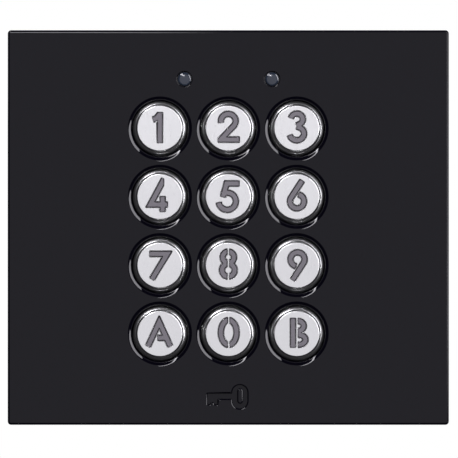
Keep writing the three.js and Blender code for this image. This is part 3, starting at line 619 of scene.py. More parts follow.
class Finish:
    """A material's nodes, on the object's own coordinates."""

    def __init__(self, name, **shader):
        self.material = bpy.data.materials.new(name)
        self.material.use_nodes = True
        self.nodes, self.links = self.material.node_tree.nodes, self.material.node_tree.links
        self.surface = self.nodes["Principled BSDF"]
        for key, value in shader.items():
            self.surface.inputs[key.replace("_", " ")].default_value = value
        self.place = self.nodes.new("ShaderNodeTexCoord").outputs["Object"]

    def add(self, kind, sockets, out=0, **settings):
        node = self.nodes.new(kind)
        for key, value in settings.items():
            setattr(node, key, value)
        for key, value in sockets.items():
            if isinstance(value, bpy.types.NodeSocket):
                self.links.new(value, node.inputs[key])
            else:
                node.inputs[key].default_value = value
        return node.outputs[out]

    def noise(self, scale, detail=2.0, stretch=(1, 1, 1), rough=0.5):
        """Fine noise with its grains 1 / scale metres across."""
        at = self.add("ShaderNodeMapping", {"Vector": self.place, "Scale": stretch})
        return self.add(
            "ShaderNodeTexNoise",
            {"Vector": at, "Scale": scale, "Detail": detail, "Roughness": rough},
        )

    def cells(self, scale, out="Distance", stretch=(1, 1, 1), **settings):
        at = self.add("ShaderNodeMapping", {"Vector": self.place, "Scale": stretch})
        return self.add("ShaderNodeTexVoronoi", {"Vector": at, "Scale": scale}, out=out, **settings)

    def ranged(self, value, low, high, start=0.3, end=0.7):
        return self.add(
            "ShaderNodeMapRange",
            {"Value": value, "From Min": start, "From Max": end, "To Min": low, "To Max": high},
        )

    def blend(self, amount, one, two):
        node = self.nodes.new("ShaderNodeMix")
        node.data_type = "RGBA"
        for key, value in ((0, amount), (6, one), (7, two)):
            if isinstance(value, bpy.types.NodeSocket):
                self.links.new(value, node.inputs[key])
            else:
                node.inputs[key].default_value = value
        return node.outputs[2]

    def colour(self, socket):
        self.links.new(socket, self.surface.inputs["Base Color"])

    def rough(self, socket):
        self.links.new(socket, self.surface.inputs["Roughness"])

    def bump(self, *heights):
        """Heights are pairs of a value and its depth in metres."""
        normal = None
        for value, depth in heights:
            sockets = {"Height": value, "Strength": 1.0, "Distance": depth}
            if normal:
                sockets["Normal"] = normal
            normal = self.add("ShaderNodeBump", sockets)
        self.links.new(normal, self.surface.inputs["Normal"])


def shade(colour, factor):
    return (*(min(c * factor, 1.0) for c in colour), 1.0)


def grained(name, colour, variation, grain, rough, depth, stretch=(1, 1, 1), broad=60.0, **shader):
    """A finish with a broad soft variation of colour and a fine grain of roughness and height."""
    f = Finish(name, **shader)
    cloud = f.ranged(f.noise(broad, 3.0), 0.0, 1.0)
    fine = f.noise(grain, 3.0, stretch)
    tone = f.blend(cloud, shade(colour, 1 - variation), shade(colour, 1 + variation))
    speck = f.blend(f.ranged(fine, 0.0, 0.5), tone, shade(colour, 1 - 1.5 * variation))
    f.colour(speck)
    f.rough(f.ranged(fine, rough[0], rough[1]))
    f.bump((fine, depth))
    return f.material


def gloss_black(colour):
    """Polished black plastic with the faintest moulding wave."""
    f = Finish("cover_gloss_black", IOR=1.46, Specular_IOR_Level=0.235)
    wave = f.noise(90.0, 1.0)
    tint = f.ranged(f.noise(900.0, 2.0), 0.0, 1.0)
    f.colour(f.blend(tint, shade(colour, 0.9), shade(colour, 1.1)))
    f.rough(f.ranged(wave, 0.035, 0.06))
    f.bump((wave, 1.2e-6))
    return f.material


def zinc_spangle(colour):
    """Galvanised sheet: large crystals that differ in tone and gloss, and fine rolling lines."""
    f = Finish("bracket_zinc", Metallic=1.0)
    crystal = f.add("ShaderNodeSeparateColor", {"Color": f.cells(170.0, "Color")})
    lines = f.noise(1500.0, 3.0, (1, 1, 0.08))
    tone = f.blend(crystal, shade(colour, 0.74), shade(colour, 1.05))
    f.colour(f.blend(f.ranged(lines, 0.0, 0.35), tone, shade(colour, 0.7)))
    f.rough(f.ranged(crystal, 0.26, 0.44, 0.0, 1.0))
    f.bump((lines, 3e-6), (crystal, 2e-6))
    return f.material


def board_finish(colour):
    """Solder mask over copper tracks and lands."""
    f = Finish("board_green", IOR=1.5, Specular_IOR_Level=0.45)
    edge = f.cells(230.0, "Distance", feature="DISTANCE_TO_EDGE")
    track = f.ranged(edge, 1.0, 0.0, 0.04, 0.07)
    holes = f.ranged(f.cells(150.0, "Distance"), 1.0, 0.0, 0.06, 0.1)
    mask = f.blend(f.ranged(f.noise(700.0), 0.0, 1.0), shade(colour, 0.85), shade(colour, 1.1))
    lit = f.blend(track, mask, shade(colour, 2.1))
    f.colour(f.blend(holes, lit, (0.55, 0.42, 0.2, 1.0)))
    f.rough(f.ranged(track, 0.38, 0.26, 0.0, 1.0))
    f.bump((track, 2e-5))
    return f.material


def foam_finish(colour):
    """Black sealing foam with open pores, with painted shade that darkens the hollow of each pore."""
    f = Finish("seal_foam", Roughness=0.95, Specular_IOR_Level=0.2)
    pore = f.cells(1900.0, "Distance")
    small = f.noise(4500.0, 3.0)
    pore_depth_and_shade = f.ranged(pore, 0.0, 1.0, 0.05, 0.45)
    # painted shade: the colour is darkened in each pore's hollow and lightened on the foam between the pores
    f.colour(f.blend(pore_depth_and_shade, shade(colour, 0.35), shade(colour, 1.4)))
    f.bump((pore_depth_and_shade, 1.6e-4), (small, 4e-5))
    return f.material


def make_finishes(colours):
    """Every finish, under the name of its slot in the record where it has one."""
    c = colours
    return {
        "cover_gloss_black": gloss_black(c.cover),
        "key_metal": grained(
            "key_metal", c.key_metal, 0.035, 2600.0, (0.27, 0.34), 2.2e-6, (1, 1, 0.12), 35.0,
            Metallic=1.0,
        ),
        "key_polished": grained(
            "key_polished", c.key_metal, 0.03, 5200.0, (0.03, 0.06), 1.5e-7, (1, 1, 1), 200.0, Metallic=1.0,
        ),
        "key_light_guide": grained(
            "key_light_guide", c.light_guide, 0.06, 3400.0, (0.42, 0.58), 6e-6, (1, 1, 1), 400.0,
        ),
        "silicone_grey": grained(
            "silicone_grey", c.silicone, 0.07, 2400.0, (0.6, 0.78), 9e-6, (1, 1, 1), 90.0,
            Specular_IOR_Level=0.35,
        ),
        "lens_smoke": grained(
            "lens_smoke", c.lens, 0.08, 1800.0, (0.1, 0.16), 6e-7, (1, 1, 1), 700.0, IOR=1.49,
            Coat_Weight=0.1, Coat_Roughness=0.04,
        ),
        "led_white": grained("led_white", c.led, 0.05, 3000.0, (0.35, 0.5), 3e-6, (1, 1, 1), 900.0),
        "board_green": board_finish(c.board),
        "coil_copper": grained(
            "coil_copper", c.copper, 0.1, 2400.0, (0.22, 0.36), 2e-6, (1, 1, 1), 250.0, Metallic=1.0,
        ),
        "component_black": grained(
            "component_black", c.component, 0.14, 3600.0, (0.42, 0.6), 9e-6, (1, 1, 1), 250.0,
        ),
        "relay_blue": grained("relay_blue", c.relay, 0.06, 3000.0, (0.3, 0.42), 4e-6, (1, 1, 1), 120.0),
        "terminal_green": grained(
            "terminal_green", c.terminal, 0.07, 3200.0, (0.4, 0.55), 7e-6, (1, 1, 1), 160.0,
        ),
        "bracket_zinc": zinc_spangle(c.zinc),
        "screw_zinc": grained(
            "screw_zinc", c.zinc, 0.08, 3500.0, (0.2, 0.32), 1.5e-6, (1, 1, 1), 500.0, Metallic=1.0,
        ),
        "screw_black": grained(
            "screw_black", c.black_screw, 0.15, 3200.0, (0.3, 0.45), 3e-6, (1, 1, 1), 500.0,
            Metallic=1.0,
        ),
        "stem_white": grained("stem_white", c.stem, 0.05, 2800.0, (0.35, 0.5), 4e-6, (1, 1, 1), 300.0),
        "housing_black": grained(
            "housing_black", c.housing, 0.12, 2300.0, (0.46, 0.62), 2.2e-5, (1, 1, 1), 70.0,
        ),
        "seal_foam": foam_finish(c.foam),
    }


finishes = {}


# ---- what a user may change --------------------------------------------------------------------


def length(name, default, description):
    return FloatProperty(
        name=name, description=description, default=default * MM, min=0.0, subtype="DISTANCE",
        unit="LENGTH", precision=5,
    )


def tint(name, default, description):
    return FloatVectorProperty(
        name=name, description=description, default=default, min=0.0, max=1.0, subtype="COLOR", size=3,
    )


class ReaderSizes(bpy.types.PropertyGroup):
    """Sizes that the frame leaves open."""

    cover_edge: length("Cover edge", 0.8, "Rounding round the cover's face")
    cover_corner: length("Cover corner", 1.0, "Radius of the cover's upright corners")
    well_rounding: length("Well rounding", 1.75, "Soft edge of the hole round each key")
    key_face_radius: length("Key face radius", 6.62, "Flat satin part of a key")
    key_edge_start: FloatProperty(
        name="Key edge slope", description="Slope at which the polished shoulder leaves the flat face",
        default=math.radians(58.0), min=0.0, max=1.2, subtype="ANGLE", unit="ROTATION",
    )
    legend_stroke: length("Legend stroke", 1.56, "Width of the strokes cut in each key")
    legend_bevel: length("Legend rounding", 0.28, "Polished rounding of the edge round each legend")
    guide_gap: length("Guide gap", 0.15, "Gap between a light guide and its legend")
    mark_rounding: length("Mark rounding", 0.36, "Rounded edge of the sunk key mark")
    mark_depth: length("Mark depth", 0.8, "Depth of the sunk key mark")
    bracket_bend: length("Bracket bend", 1.6, "Middle radius of the bracket's bends")
    sides: IntProperty(
        name="Round sides", description="Sides of a key and its well", default=96, min=24, max=256
    )


class ReaderColours(bpy.types.PropertyGroup):
    """Base colours of the finishes."""

    cover: tint("Cover", (0.0013, 0.0011, 0.0028), "Gloss black plastic")
    key_metal: tint("Key metal", (0.635, 0.638, 0.634), "Satin metal of the keys")
    light_guide: tint("Light guide", (0.108, 0.100, 0.112), "Grey plastic seen through the legends")
    silicone: tint("Silicone", (0.33, 0.335, 0.32), "Key mat and cover seal")
    lens: tint("Lens", (0.014, 0.019, 0.030), "Smoked status lenses")
    led: tint("LED", (0.84, 0.81, 0.68), "Status LEDs under the lenses")
    board: tint("Board", (0.012, 0.085, 0.03), "Solder mask of the board")
    copper: tint("Copper", (0.72, 0.33, 0.14), "Enamelled copper of the coil")
    component: tint("Component", (0.016, 0.016, 0.018), "Chip, sounder, capacitor and switches")
    relay: tint("Relay", (0.022, 0.07, 0.2), "Relay case")
    terminal: tint("Terminal", (0.022, 0.19, 0.06), "Terminal block")
    zinc: tint("Zinc", (0.62, 0.63, 0.64), "Wall bracket and bright screws")
    black_screw: tint("Black screw", (0.05, 0.05, 0.055), "Cover screws and lock screw")
    stem: tint("Stem", (0.8, 0.79, 0.74), "Stems of the two switches")
    housing: tint("Housing", (0.014, 0.014, 0.015), "Fine-textured rear housing")
    foam: tint("Foam", (0.022, 0.022, 0.023), "Seal to the wall")


class ReaderStudio(bpy.types.PropertyGroup):
    """Camera, floor and lights."""

    distance: length("Camera distance", 800.0, "Camera to the cover's face")
    field: length("Field of view", 133.8, "Width of the view at the cover's face")
    aim_x: FloatProperty(
        name="Aim across", description="Camera to the right of the middle", default=0.21 * MM,
        subtype="DISTANCE", unit="LENGTH", precision=5,
    )
    aim_z: FloatProperty(
        name="Aim up", description="Camera above the middle", default=-0.43 * MM,
        subtype="DISTANCE", unit="LENGTH", precision=5,
    )
    floor_drop: length("Floor", 420.0, "Floor below the middle of the reader")
    front: FloatProperty(
        name="Front light", description="Brightness of the large front panel", default=0.98, min=0.0
    )
    side: FloatProperty(
        name="Side light", description="Brightness of the panel on the right", default=13.0, min=0.0
    )
    spot: FloatProperty(
        name="Upper light", description="Brightness of the two small panels at the upper left",
        default=28.0, min=0.0,
    )
    back: FloatProperty(
        name="Back light", description="Brightness of the panels behind", default=1.1, min=0.0
    )
    fill: FloatProperty(
        name="Fill", description="Brightness of the surroundings", default=0.02, min=0.0
    )


# ---- legends ---------------------------------------------------------------------------------------


def arc(x, y, rx, ry, start, end, step=9.0):
    count = max(2, math.ceil(abs(end - start) / step))
    angles = (math.radians(start + (end - start) * i / count) for i in range(count + 1))
    return [(x + rx * math.cos(a), y + ry * math.sin(a)) for a in angles]


# Centre lines of each legend's strokes in millimetres, about the middle of its key.
LEGENDS = {
    "1": [[(0.03, 4.5), (0.03, -4.2)], [(0.03, 4.05), *arc(-2.4, 5.2, 2.5, 2.75, -32, -78)]],
    "2": [[*arc(0.0, 2.05, 2.15, 2.1, 190, -38), (-2.25, -3.35), (3.2, -3.35)]],
    "3": [
        [*arc(0.0, 2.6, 1.75, 1.65, 165, -72), (0.1, 0.75)],
        [(0.1, 0.45), *arc(0.0, -1.6, 2.1, 1.95, 72, -165)],
    ],
    "4": [[(1.2, 5.05), (-2.75, -2.3), (2.2, -2.3)], [(0.82, 0.0), (0.82, -4.3)]],
    "5": [[(3.1, 3.85), (-0.5, 3.85), (-1.5, 0.0)], arc(-0.3, -1.35, 2.5, 2.5, 125, -170)],
    "6": [[(1.5, 4.6), *arc(0.05, -1.35, 2.05, 2.05, 155, 435)]],
    "7": [[(-2.9, 3.3), (2.2, 3.3), (-2.25, -4.0)]],
    "8": [arc(0, 2.3, 1.65, 1.65, 90, 450), arc(0, -1.45, 1.85, 1.85, 90, 450)],
    "9": [[(-1.2, -4.2), *arc(0.2, 1.7, 2.05, 2.05, -25, 255)]],
    "a": [[(-3.4, -3.6), (-0.15, 3.4), (3.05, -3.6)], [(-0.55, -1.2), (2.05, -1.2)]],
    "0": [arc(0.12, 0.36, 2.3, 3.6, 90, 450)],
    "b": [
        [(-1.1, 4.45), (-1.1, -3.9)],
        [(-0.3, 3.7), *arc(0.4, 2.25, 1.6, 1.45, 90, -90), (-0.3, 0.8)],
        [(-0.3, -0.3), *arc(0.5, -1.75, 2, 1.45, 90, -90), (-0.3, -3.2)],
    ],
}
BRIDGES = {"8": 0.0, "0": 0.12, "b": 0.03}  # where a strip of metal holds a closed letter's middle
BRIDGE_WIDTH = 0.8


def stroke_parts(line, width):
    """The four-sided parts of a stroke along a line of points, with mitred corners."""
    points = [Vector(p) for p in line]
    closed = (points[0] - points[-1]).length < 1e-6
    if closed:
        points.pop()
    count, moves = len(points), []
    for i, here in enumerate(points):
        first = (here - points[i - 1]).normalized() if closed or i else None
        last = (points[(i + 1) % count] - here).normalized() if closed or i < count - 1 else None
        first, last = first or last, last or first
        one, two = Vector((-first.y, first.x)), Vector((-last.y, last.x))
        mitre = (one + two).normalized()
        moves.append(mitre * width / 2 / mitre.dot(one))
    parts = []
    for i in range(count if closed else count - 1):
        j = (i + 1) % count
        a, b, c, d = points[i] - moves[i], points[j] - moves[j], points[j] + moves[j], points[i] + moves[i]
        parts.append([tuple(a), tuple(b), tuple(c), tuple(d)])
    return parts


def legend_outlines(name, width):
    """The closed outlines of a legend's cuts."""
    parts = [part for line in LEGENDS[name] for part in stroke_parts(line, width)]
    cuts = []
    if name in BRIDGES:
        x = BRIDGES[name]
        cuts.append(rounded(x - BRIDGE_WIDTH / 2, x + BRIDGE_WIDTH / 2, -7, 7, 0.02, 1))
    if name == "4":  # its slanting stroke ends upright
        cuts.append(rounded(1.1, 4, 2.2, 8, 0.02, 1))
    if name == "2":  # its lower left corner is blunt
        cuts.append(rounded(-7, -2.95, -7, -1.5, 0.02, 1))
    return [eased(outline, 0.16) for outline in merged(parts, cuts)]


# ---- pieces -----------------------------------------------------------------------------------------


class ReaderOperator:
    """What every operator here shares."""

    bl_options = {"REGISTER", "UNDO"}

    def execute(self, context):
        self.build(context.scene.reader_sizes)
        return {"FINISHED"}


class READER_OT_finishes(bpy.types.Operator):
    """Makes the finishes that all pieces share"""

    bl_idname = "reader.finishes"
    bl_label = "Finishes"

    def execute(self, context):
        finishes.update(make_finishes(context.scene.reader_colours))
        return {"FINISHED"}


def boss(shape, x, y, radius, bore, low, high, depth):
    """A screw boss that hangs from the face, with a blind pilot hole."""
    shape.turned(
        [(0, high), (radius, high), (radius, low + 0.3), (radius - 0.3, low), (bore + 0.2, low),
         (bore, low + 0.2), (bore, low + depth), (0, low + depth)],
        x, y, 32,
    )


MARK_MIDDLE = -49.4


def mark_outlines():
    """A door key lying on its side: an oval bow with a slot, a shank, and a bit with a notch."""
    y = MARK_MIDDLE
    bow = rounded(1.05, 5.7, y - 3.65, y + 3.45, 2.31, 14)
    slot = rounded(2.72, 4.2, y - 2.0, y + 2.3, 0.73, 8)
    shank = [(-6.2, y - 0.8), (2.0, y - 0.8), (2.0, y + 0.95), (-6.2, y + 0.95)]
    bit = [
        (-6.2, y - 2.4), (-5.2, y - 2.4), (-5.1, y - 1.75), (-4.3, y - 1.75), (-4.2, y - 2.4),
        (-3.1, y - 2.4), (-3.1, y + 0.5), (-6.2, y + 0.5),
    ]
    return [eased(outline, 0.22) for outline in merged([bow, shank, bit], [slot])]


class READER_OT_cover(ReaderOperator, bpy.types.Operator):
    """Makes the front cover: its face with soft-edged wells, lens holes and the sunk key mark"""

    bl_idname = "reader.cover"
    bl_label = "Front cover"

    def build(self, sizes):
        s = Shape()
        edge, corner = sizes.cover_edge / MM, sizes.cover_corner / MM
        roll = sizes.well_rounding / MM
        guard = 0.04  # a narrow flat band keeps the gloss face's shading flat
        low = COVER.wall
        levels = [(inset(COVER, edge + guard, max(corner - edge - guard, 0.3)), FACE)]
        levels += [
            (inset(COVER, edge - across, max(corner - edge + across, 0.35)), FACE - down)
            for across, down in rolled(edge, steps=7)
        ]
        levels += [
            (inset(COVER, inwards, turn), height)
            for inwards, turn, height in (
                (0, corner, low + 0.35), (0.12, corner, low + 0.12), (0.35, corner - 0.3, low),
                (2.3, 0.8, low), (2.5, 0.6, low + 0.25), (2.5, 0.6, low + 4.7), (4.0, 0.6, low + 4.7),
                (4.0, 0.6, FACE_BACK - 0.4), (4.4, 0.4, FACE_BACK),
            )
        ]
        outer, inner = s.sleeve(levels)
        holes = []
        draft = 0.17  # how much a well narrows towards its back
        for name in KEYS:
            place = (*middle("key_cap_" + name), sizes.sides)
            reach = WELL_RADIUS + roll
            levels = [(circle(reach + guard, *place), FACE)]
            levels += [(circle(reach - across, *place), FACE - down) for across, down in well_edge(roll)]
            levels.append((circle(WELL_RADIUS - draft, *place), FACE_BACK + 0.3))
            levels.append((circle(WELL_RADIUS - draft + 0.3, *place), FACE_BACK))
            holes.append(s.sleeve(levels))
        for side in SIDES:
            place = (*middle("status_lens_" + side), 48)
            bore, lip = 2.2, 0.25
            levels = [(circle(bore + lip + guard, *place), FACE)]
            levels += [
                (circle(bore + lip - across, *place), FACE - down) for across, down in rolled(lip, steps=5)
            ]
            levels.append((circle(bore, *place), FACE_BACK))
            holes.append(s.sleeve(levels))
        face_holes, back_holes = [hole[0] for hole in holes], [hole[1] for hole in holes]
        depth, easing = sizes.mark_depth / MM, sizes.mark_rounding / MM
        floors, islands = [], []
        for outline in mark_outlines():
            levels = [(grown(outline, easing + 0.04), FACE)]
            levels += [(grown(outline, easing - across), FACE - down) for across, down in well_edge(easing)]
            levels += [(outline, FACE - depth + 0.12), (grown(outline, -0.12), FACE - depth)]
            rim, floor = s.sleeve(levels)
            (face_holes if area(outline) > 0 else islands).append(rim)
            floors.append(floor)
        s.flat(outer, face_holes)
        for island in islands:
            s.flat(island)
        s.flat(floors[0], floors[1:])
        s.flat(inner, back_holes)
        for name in CORNERS:
            x, y = middle("cover_screw_" + name)
            boss(s, x, y, 3.9, 1.8, low + 4.7, FACE_BACK + 0.5, 6.0)
            x, y = middle("board_screw_" + name)
            boss(s, x, y, 3.0, 1.55, BOARD.front + 0.1, FACE_BACK + 0.5, 5.6)
        for x in (-40.0, 40.0):  # stiffening ribs behind the face
            rib = Shape()
            ends = rib.sleeve([
                (rounded(x - 0.6, x + 0.6, -46, 44, 0.5, 3), FACE_BACK - 2.4),
                (rounded(x - 0.8, x + 0.8, -46.4, 44.4, 0.6, 3), FACE_BACK + 0.4),
            ])
            rib.flat(ends[0])
            rib.flat(ends[1])
            s.add(rib)
        piece("cover_shell", s, ["cover_gloss_black"], ["front_cover"], crease=40.0)


KEY_BREAK = 0.2  # the narrow rounding at the edge of a key's flat face
KEY_STEP = 0.4  # how wide the steep step outside that rounding is
BEAD_START = 26.0  # degrees from level at which the rounded bead outside the step begins
KEY_PLATE = 1.2  # how thick a key is behind its flat face


class READER_OT_keys(ReaderOperator, bpy.types.Operator):
    """Makes the twelve metal keys, with polished shoulders and legends cut right through"""

    bl_idname = "reader.keys"
    bl_label = "Keys"

    def build(self, sizes):
        bevel, under = sizes.legend_bevel / MM, KEY_FACE - KEY_PLATE
        flat_radius, start = sizes.key_face_radius / MM, sizes.key_edge_start
        profile = [(flat_radius - KEY_BREAK, KEY_FACE)]
        for across, down in rolled(KEY_BREAK, 3.0, math.degrees(start), 4)[1:]:
            profile.append((flat_radius - KEY_BREAK + across, KEY_FACE - down))
        bead, crown = flat_radius + KEY_STEP, profile[-1][1] - KEY_STEP * math.tan(start)
        for across, down in rolled(KEY_RADIUS - bead, BEAD_START, 90.0, 14):
            profile.append((bead + across, crown - down))
        for name in KEYS:
            box = span("key_cap_" + name)
            x, y = middle("key_cap_" + name)
            flange, low = (box.right - box.left) / 2, box.wall
            s = Shape()
            top, foot = s.sleeve(
                [
                    (circle(radius, x, y, sizes.sides), height)
                    for radius, height in (
                        *profile, (KEY_RADIUS, low + 1.15), (KEY_RADIUS + 0.15, low + 1.0),
                        (flange - 0.2, low + 1.0), (flange, low + 0.8), (flange, low + 0.2),
                        (flange - 0.2, low), (7.05, low), (6.9, low + 0.15), (6.9, under),
                    )
                ],
                finish=1,
            )
            cuts = []
            for outline in legend_outlines(name, sizes.legend_stroke / MM):
                moved = [(px + x, py + y) for px, py in outline]
                levels = [
                    (grown(moved, bevel - across), KEY_FACE - down)
                    for across, down in rolled(bevel, 30.0, 90.0, 5)
                ]
                cuts.append(s.sleeve([*levels, (moved, under)], finish=1))
            s.flat(top, [cut[0] for cut in cuts], 0)
            s.flat(foot, [cut[1] for cut in cuts], 1)
            piece(
                "cap_" + name, s, ["key_metal", "key_polished"], ["key_cap_" + name], "key_" + name,
                crease=24.0,
            )


class READER_OT_guides(ReaderOperator, bpy.types.Operator):
    """Makes the grey light guide inside each key, which stands up into its legend"""

    bl_idname = "reader.guides"
    bl_label = "Light guides"

    def build(self, sizes):
        gap = sizes.guide_gap / MM
        for name in KEYS:
            box = span("key_insert_" + name)
            x, y = middle("key_insert_" + name)
            top = KEY_FACE - 1.5
            radius, low = (box.right - box.left) / 2, box.wall
            s = Shape()
            foot, rim = s.sleeve([
                (circle(r, x, y, 64), h)
                for r, h in (
                    (3.2, low), (3.5, low + 0.2), (3.5, low + 0.6), (radius - 0.2, low + 0.6),
                    (radius, low + 0.8), (radius, top - 0.2), (radius - 0.2, top),
                )
            ])
            s.flat(foot)
            roots = []
            for outline in legend_outlines(name, sizes.legend_stroke / MM - 2 * gap):
                moved = [(px + x, py + y) for px, py in outline]
                root, tip = s.sleeve([
                    (moved, top), (moved, box.front - 0.08), (grown(moved, -0.08), box.front),
                ])
                s.flat(tip)
                roots.append(root)
            s.flat(rim, roots)
            piece("guide_" + name, s, ["key_light_guide"], ["key_insert_" + name], "key_" + name)


class READER_OT_mat(ReaderOperator, bpy.types.Operator):
    """Makes the silicone mat, and the dome under each key that springs it back"""

    bl_idname = "reader.mat"
    bl_label = "Key mat"

    def build(self, sizes):
        box = span("keypad_mat")
        low, sheet, top = box.wall, box.wall + 1.2, box.front
        root, travel = 5.9, 1.2  # a dome's foot, and how far a key goes down
        s = Shape()
        back, face = s.sleeve([
            (inset(box, i, 3 - i, 8), h)
            for i, h in ((0.25, low), (0, low + 0.25), (0, sheet - 0.25), (0.25, sheet))
        ])
        holes = []
        for name in KEYS:
            outline = circle(root, *middle("key_cap_" + name), 48)
            holes.append(s.sleeve([(outline, low), (outline, sheet)]))
        s.flat(back, [hole[0] for hole in holes])
        s.flat(face, [hole[1] for hole in holes])
        piece("mat_sheet", s, ["silicone_grey"], ["keypad_mat"])
        for name in KEYS:
            x, y = middle("key_cap_" + name)
            dome = Shape()
            dome.turned(
                [(0, top), (2.9, top), (3.2, top - 0.12), (3.4, top - 0.4), (4.6, sheet + 0.75),
                 (5.2, sheet + 0.2), (root, sheet), (root, sheet - 0.2), (4.95, sheet - 0.2),
                 (4.8, sheet), (4.1, sheet + 0.75), (2.9, top - 1.2), (2.6, top - 1.4), (0, top - 1.4)],
                x, y, 48,
            )
            made = piece("mat_dome_" + name, dome, ["silicone_grey"])
            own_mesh(made)


class READER_OT_lenses(ReaderOperator, bpy.types.Operator):
    """Makes the two domed status lenses and their LEDs"""

    bl_idname = "reader.lenses"
    bl_label = "Status lenses"

    def build(self, sizes):
        for side in SIDES:
            node = "status_lens_" + side
            box = span(node)
            x, y = middle(node)
            top, flange = box.front, (box.right - box.left) / 2
            s = Shape()
            dome = [(2.0 * math.sin(math.radians(a)), top - 0.5 * (1 - math.cos(math.radians(a))))
                    for a in range(0, 91, 9)]
            behind = FACE_BACK - 0.1
            s.turned(
                [*dome, (2.0, behind), (flange - 0.15, behind), (flange, behind - 0.15),
                 (flange, behind - 0.85), (flange - 0.15, behind - 1.0), (2.0, behind - 1.0),
                 (1.9, box.wall + 0.2), (1.7, box.wall), (1.2, box.wall + 0.3), (0, box.wall + 0.6)],
                x, y, 48,
            )
            piece("lens_" + side, s, ["lens_smoke"], [node])
            led = span("status_led_" + side)
            s = Shape()
            ends = s.sleeve([
                (inset(led, i, 0.15, 3), led.wall + h)
                for i, h in ((0.05, 0), (0, 0.1), (0, 0.8), (0.1, 1.1), (0.35, 1.1))
            ])
            s.flat(ends[0])
            s.flat(ends[1])
            s.turned(
                [(0, led.wall + 1.0), (0.5, led.wall + 1.0), (0.48, led.wall + 1.15),
                 (0.35, led.wall + 1.3), (0.15, led.wall + 1.38), (0, led.wall + 1.4)], x, y, 24,
            )
            piece("led_" + side, s, ["led_white"], ["status_led_" + side])


class READER_OT_board(ReaderOperator, bpy.types.Operator):
    """Makes the circuit board, its coil and its small soldered parts"""

    bl_idname = "reader.board"
    bl_label = "Board"

    def build(self, sizes):
        s = Shape()
        back, front = s.sleeve([
            (inset(BOARD, i, 2 - i, 8), h)
            for i, h in (
                (0.12, BOARD.wall), (0, BOARD.wall + 0.12), (0, BOARD.front - 0.12), (0.12, BOARD.front),
            )
        ])
        holes = []
        for name in CORNERS:
            outline = circle(1.55, *middle("board_screw_" + name), 32)
            holes.append(s.sleeve([(outline, BOARD.wall), (outline, BOARD.front)]))
        s.flat(back, [hole[0] for hole in holes])
        s.flat(front, [hole[1] for hole in holes])
        piece("board", s, ["board_green"], ["main_board"])

        coil = span("reader_coil")
        band = 1.6
        x, y = middle("reader_coil")
        mesh = coil_tree().mesh(
            "coil_copper",
            width=(coil.right - coil.left - band) * MM, height=(coil.top - coil.bottom - band) * MM,
            shift=tuple(WALL_UP @ Vector((x, y, (coil.wall + coil.front) / 2)) * MM),
        )
        settled("coil", mesh, ["coil_copper"], ["reader_coil"], crease=60.0, joined=1e-7)

        tree, high = chip_part_tree(), BOARD.wall - 0.3
        ends = {"length": 0.42 * MM, "width": 1.26 * MM, "height": 0.56 * MM, "gap": 0.84 * MM}
        for label, x, y, columns, rows, seed in (
            ("lower", 0.0, -33.0, 11, 4, 3), ("upper", 0.0, 40.5, 9, 2, 8), ("middle", -4.0, 10.0, 7, 3, 5),
        ):
            for part, look, values in (("bodies", "component_black", {}), ("ends", "screw_zinc", ends)):
                mesh = tree.mesh(
                    look, shift=tuple(WALL_UP @ Vector((x, y, high)) * MM), columns=columns, rows=rows,
                    seed=seed, spread_x=(columns - 1) * 4.4 * MM, spread_y=(rows - 1) * 3.2 * MM,
                    **values,
                )
                settled(f"parts_{label}_{part}", mesh, [look], joined=1e-8)


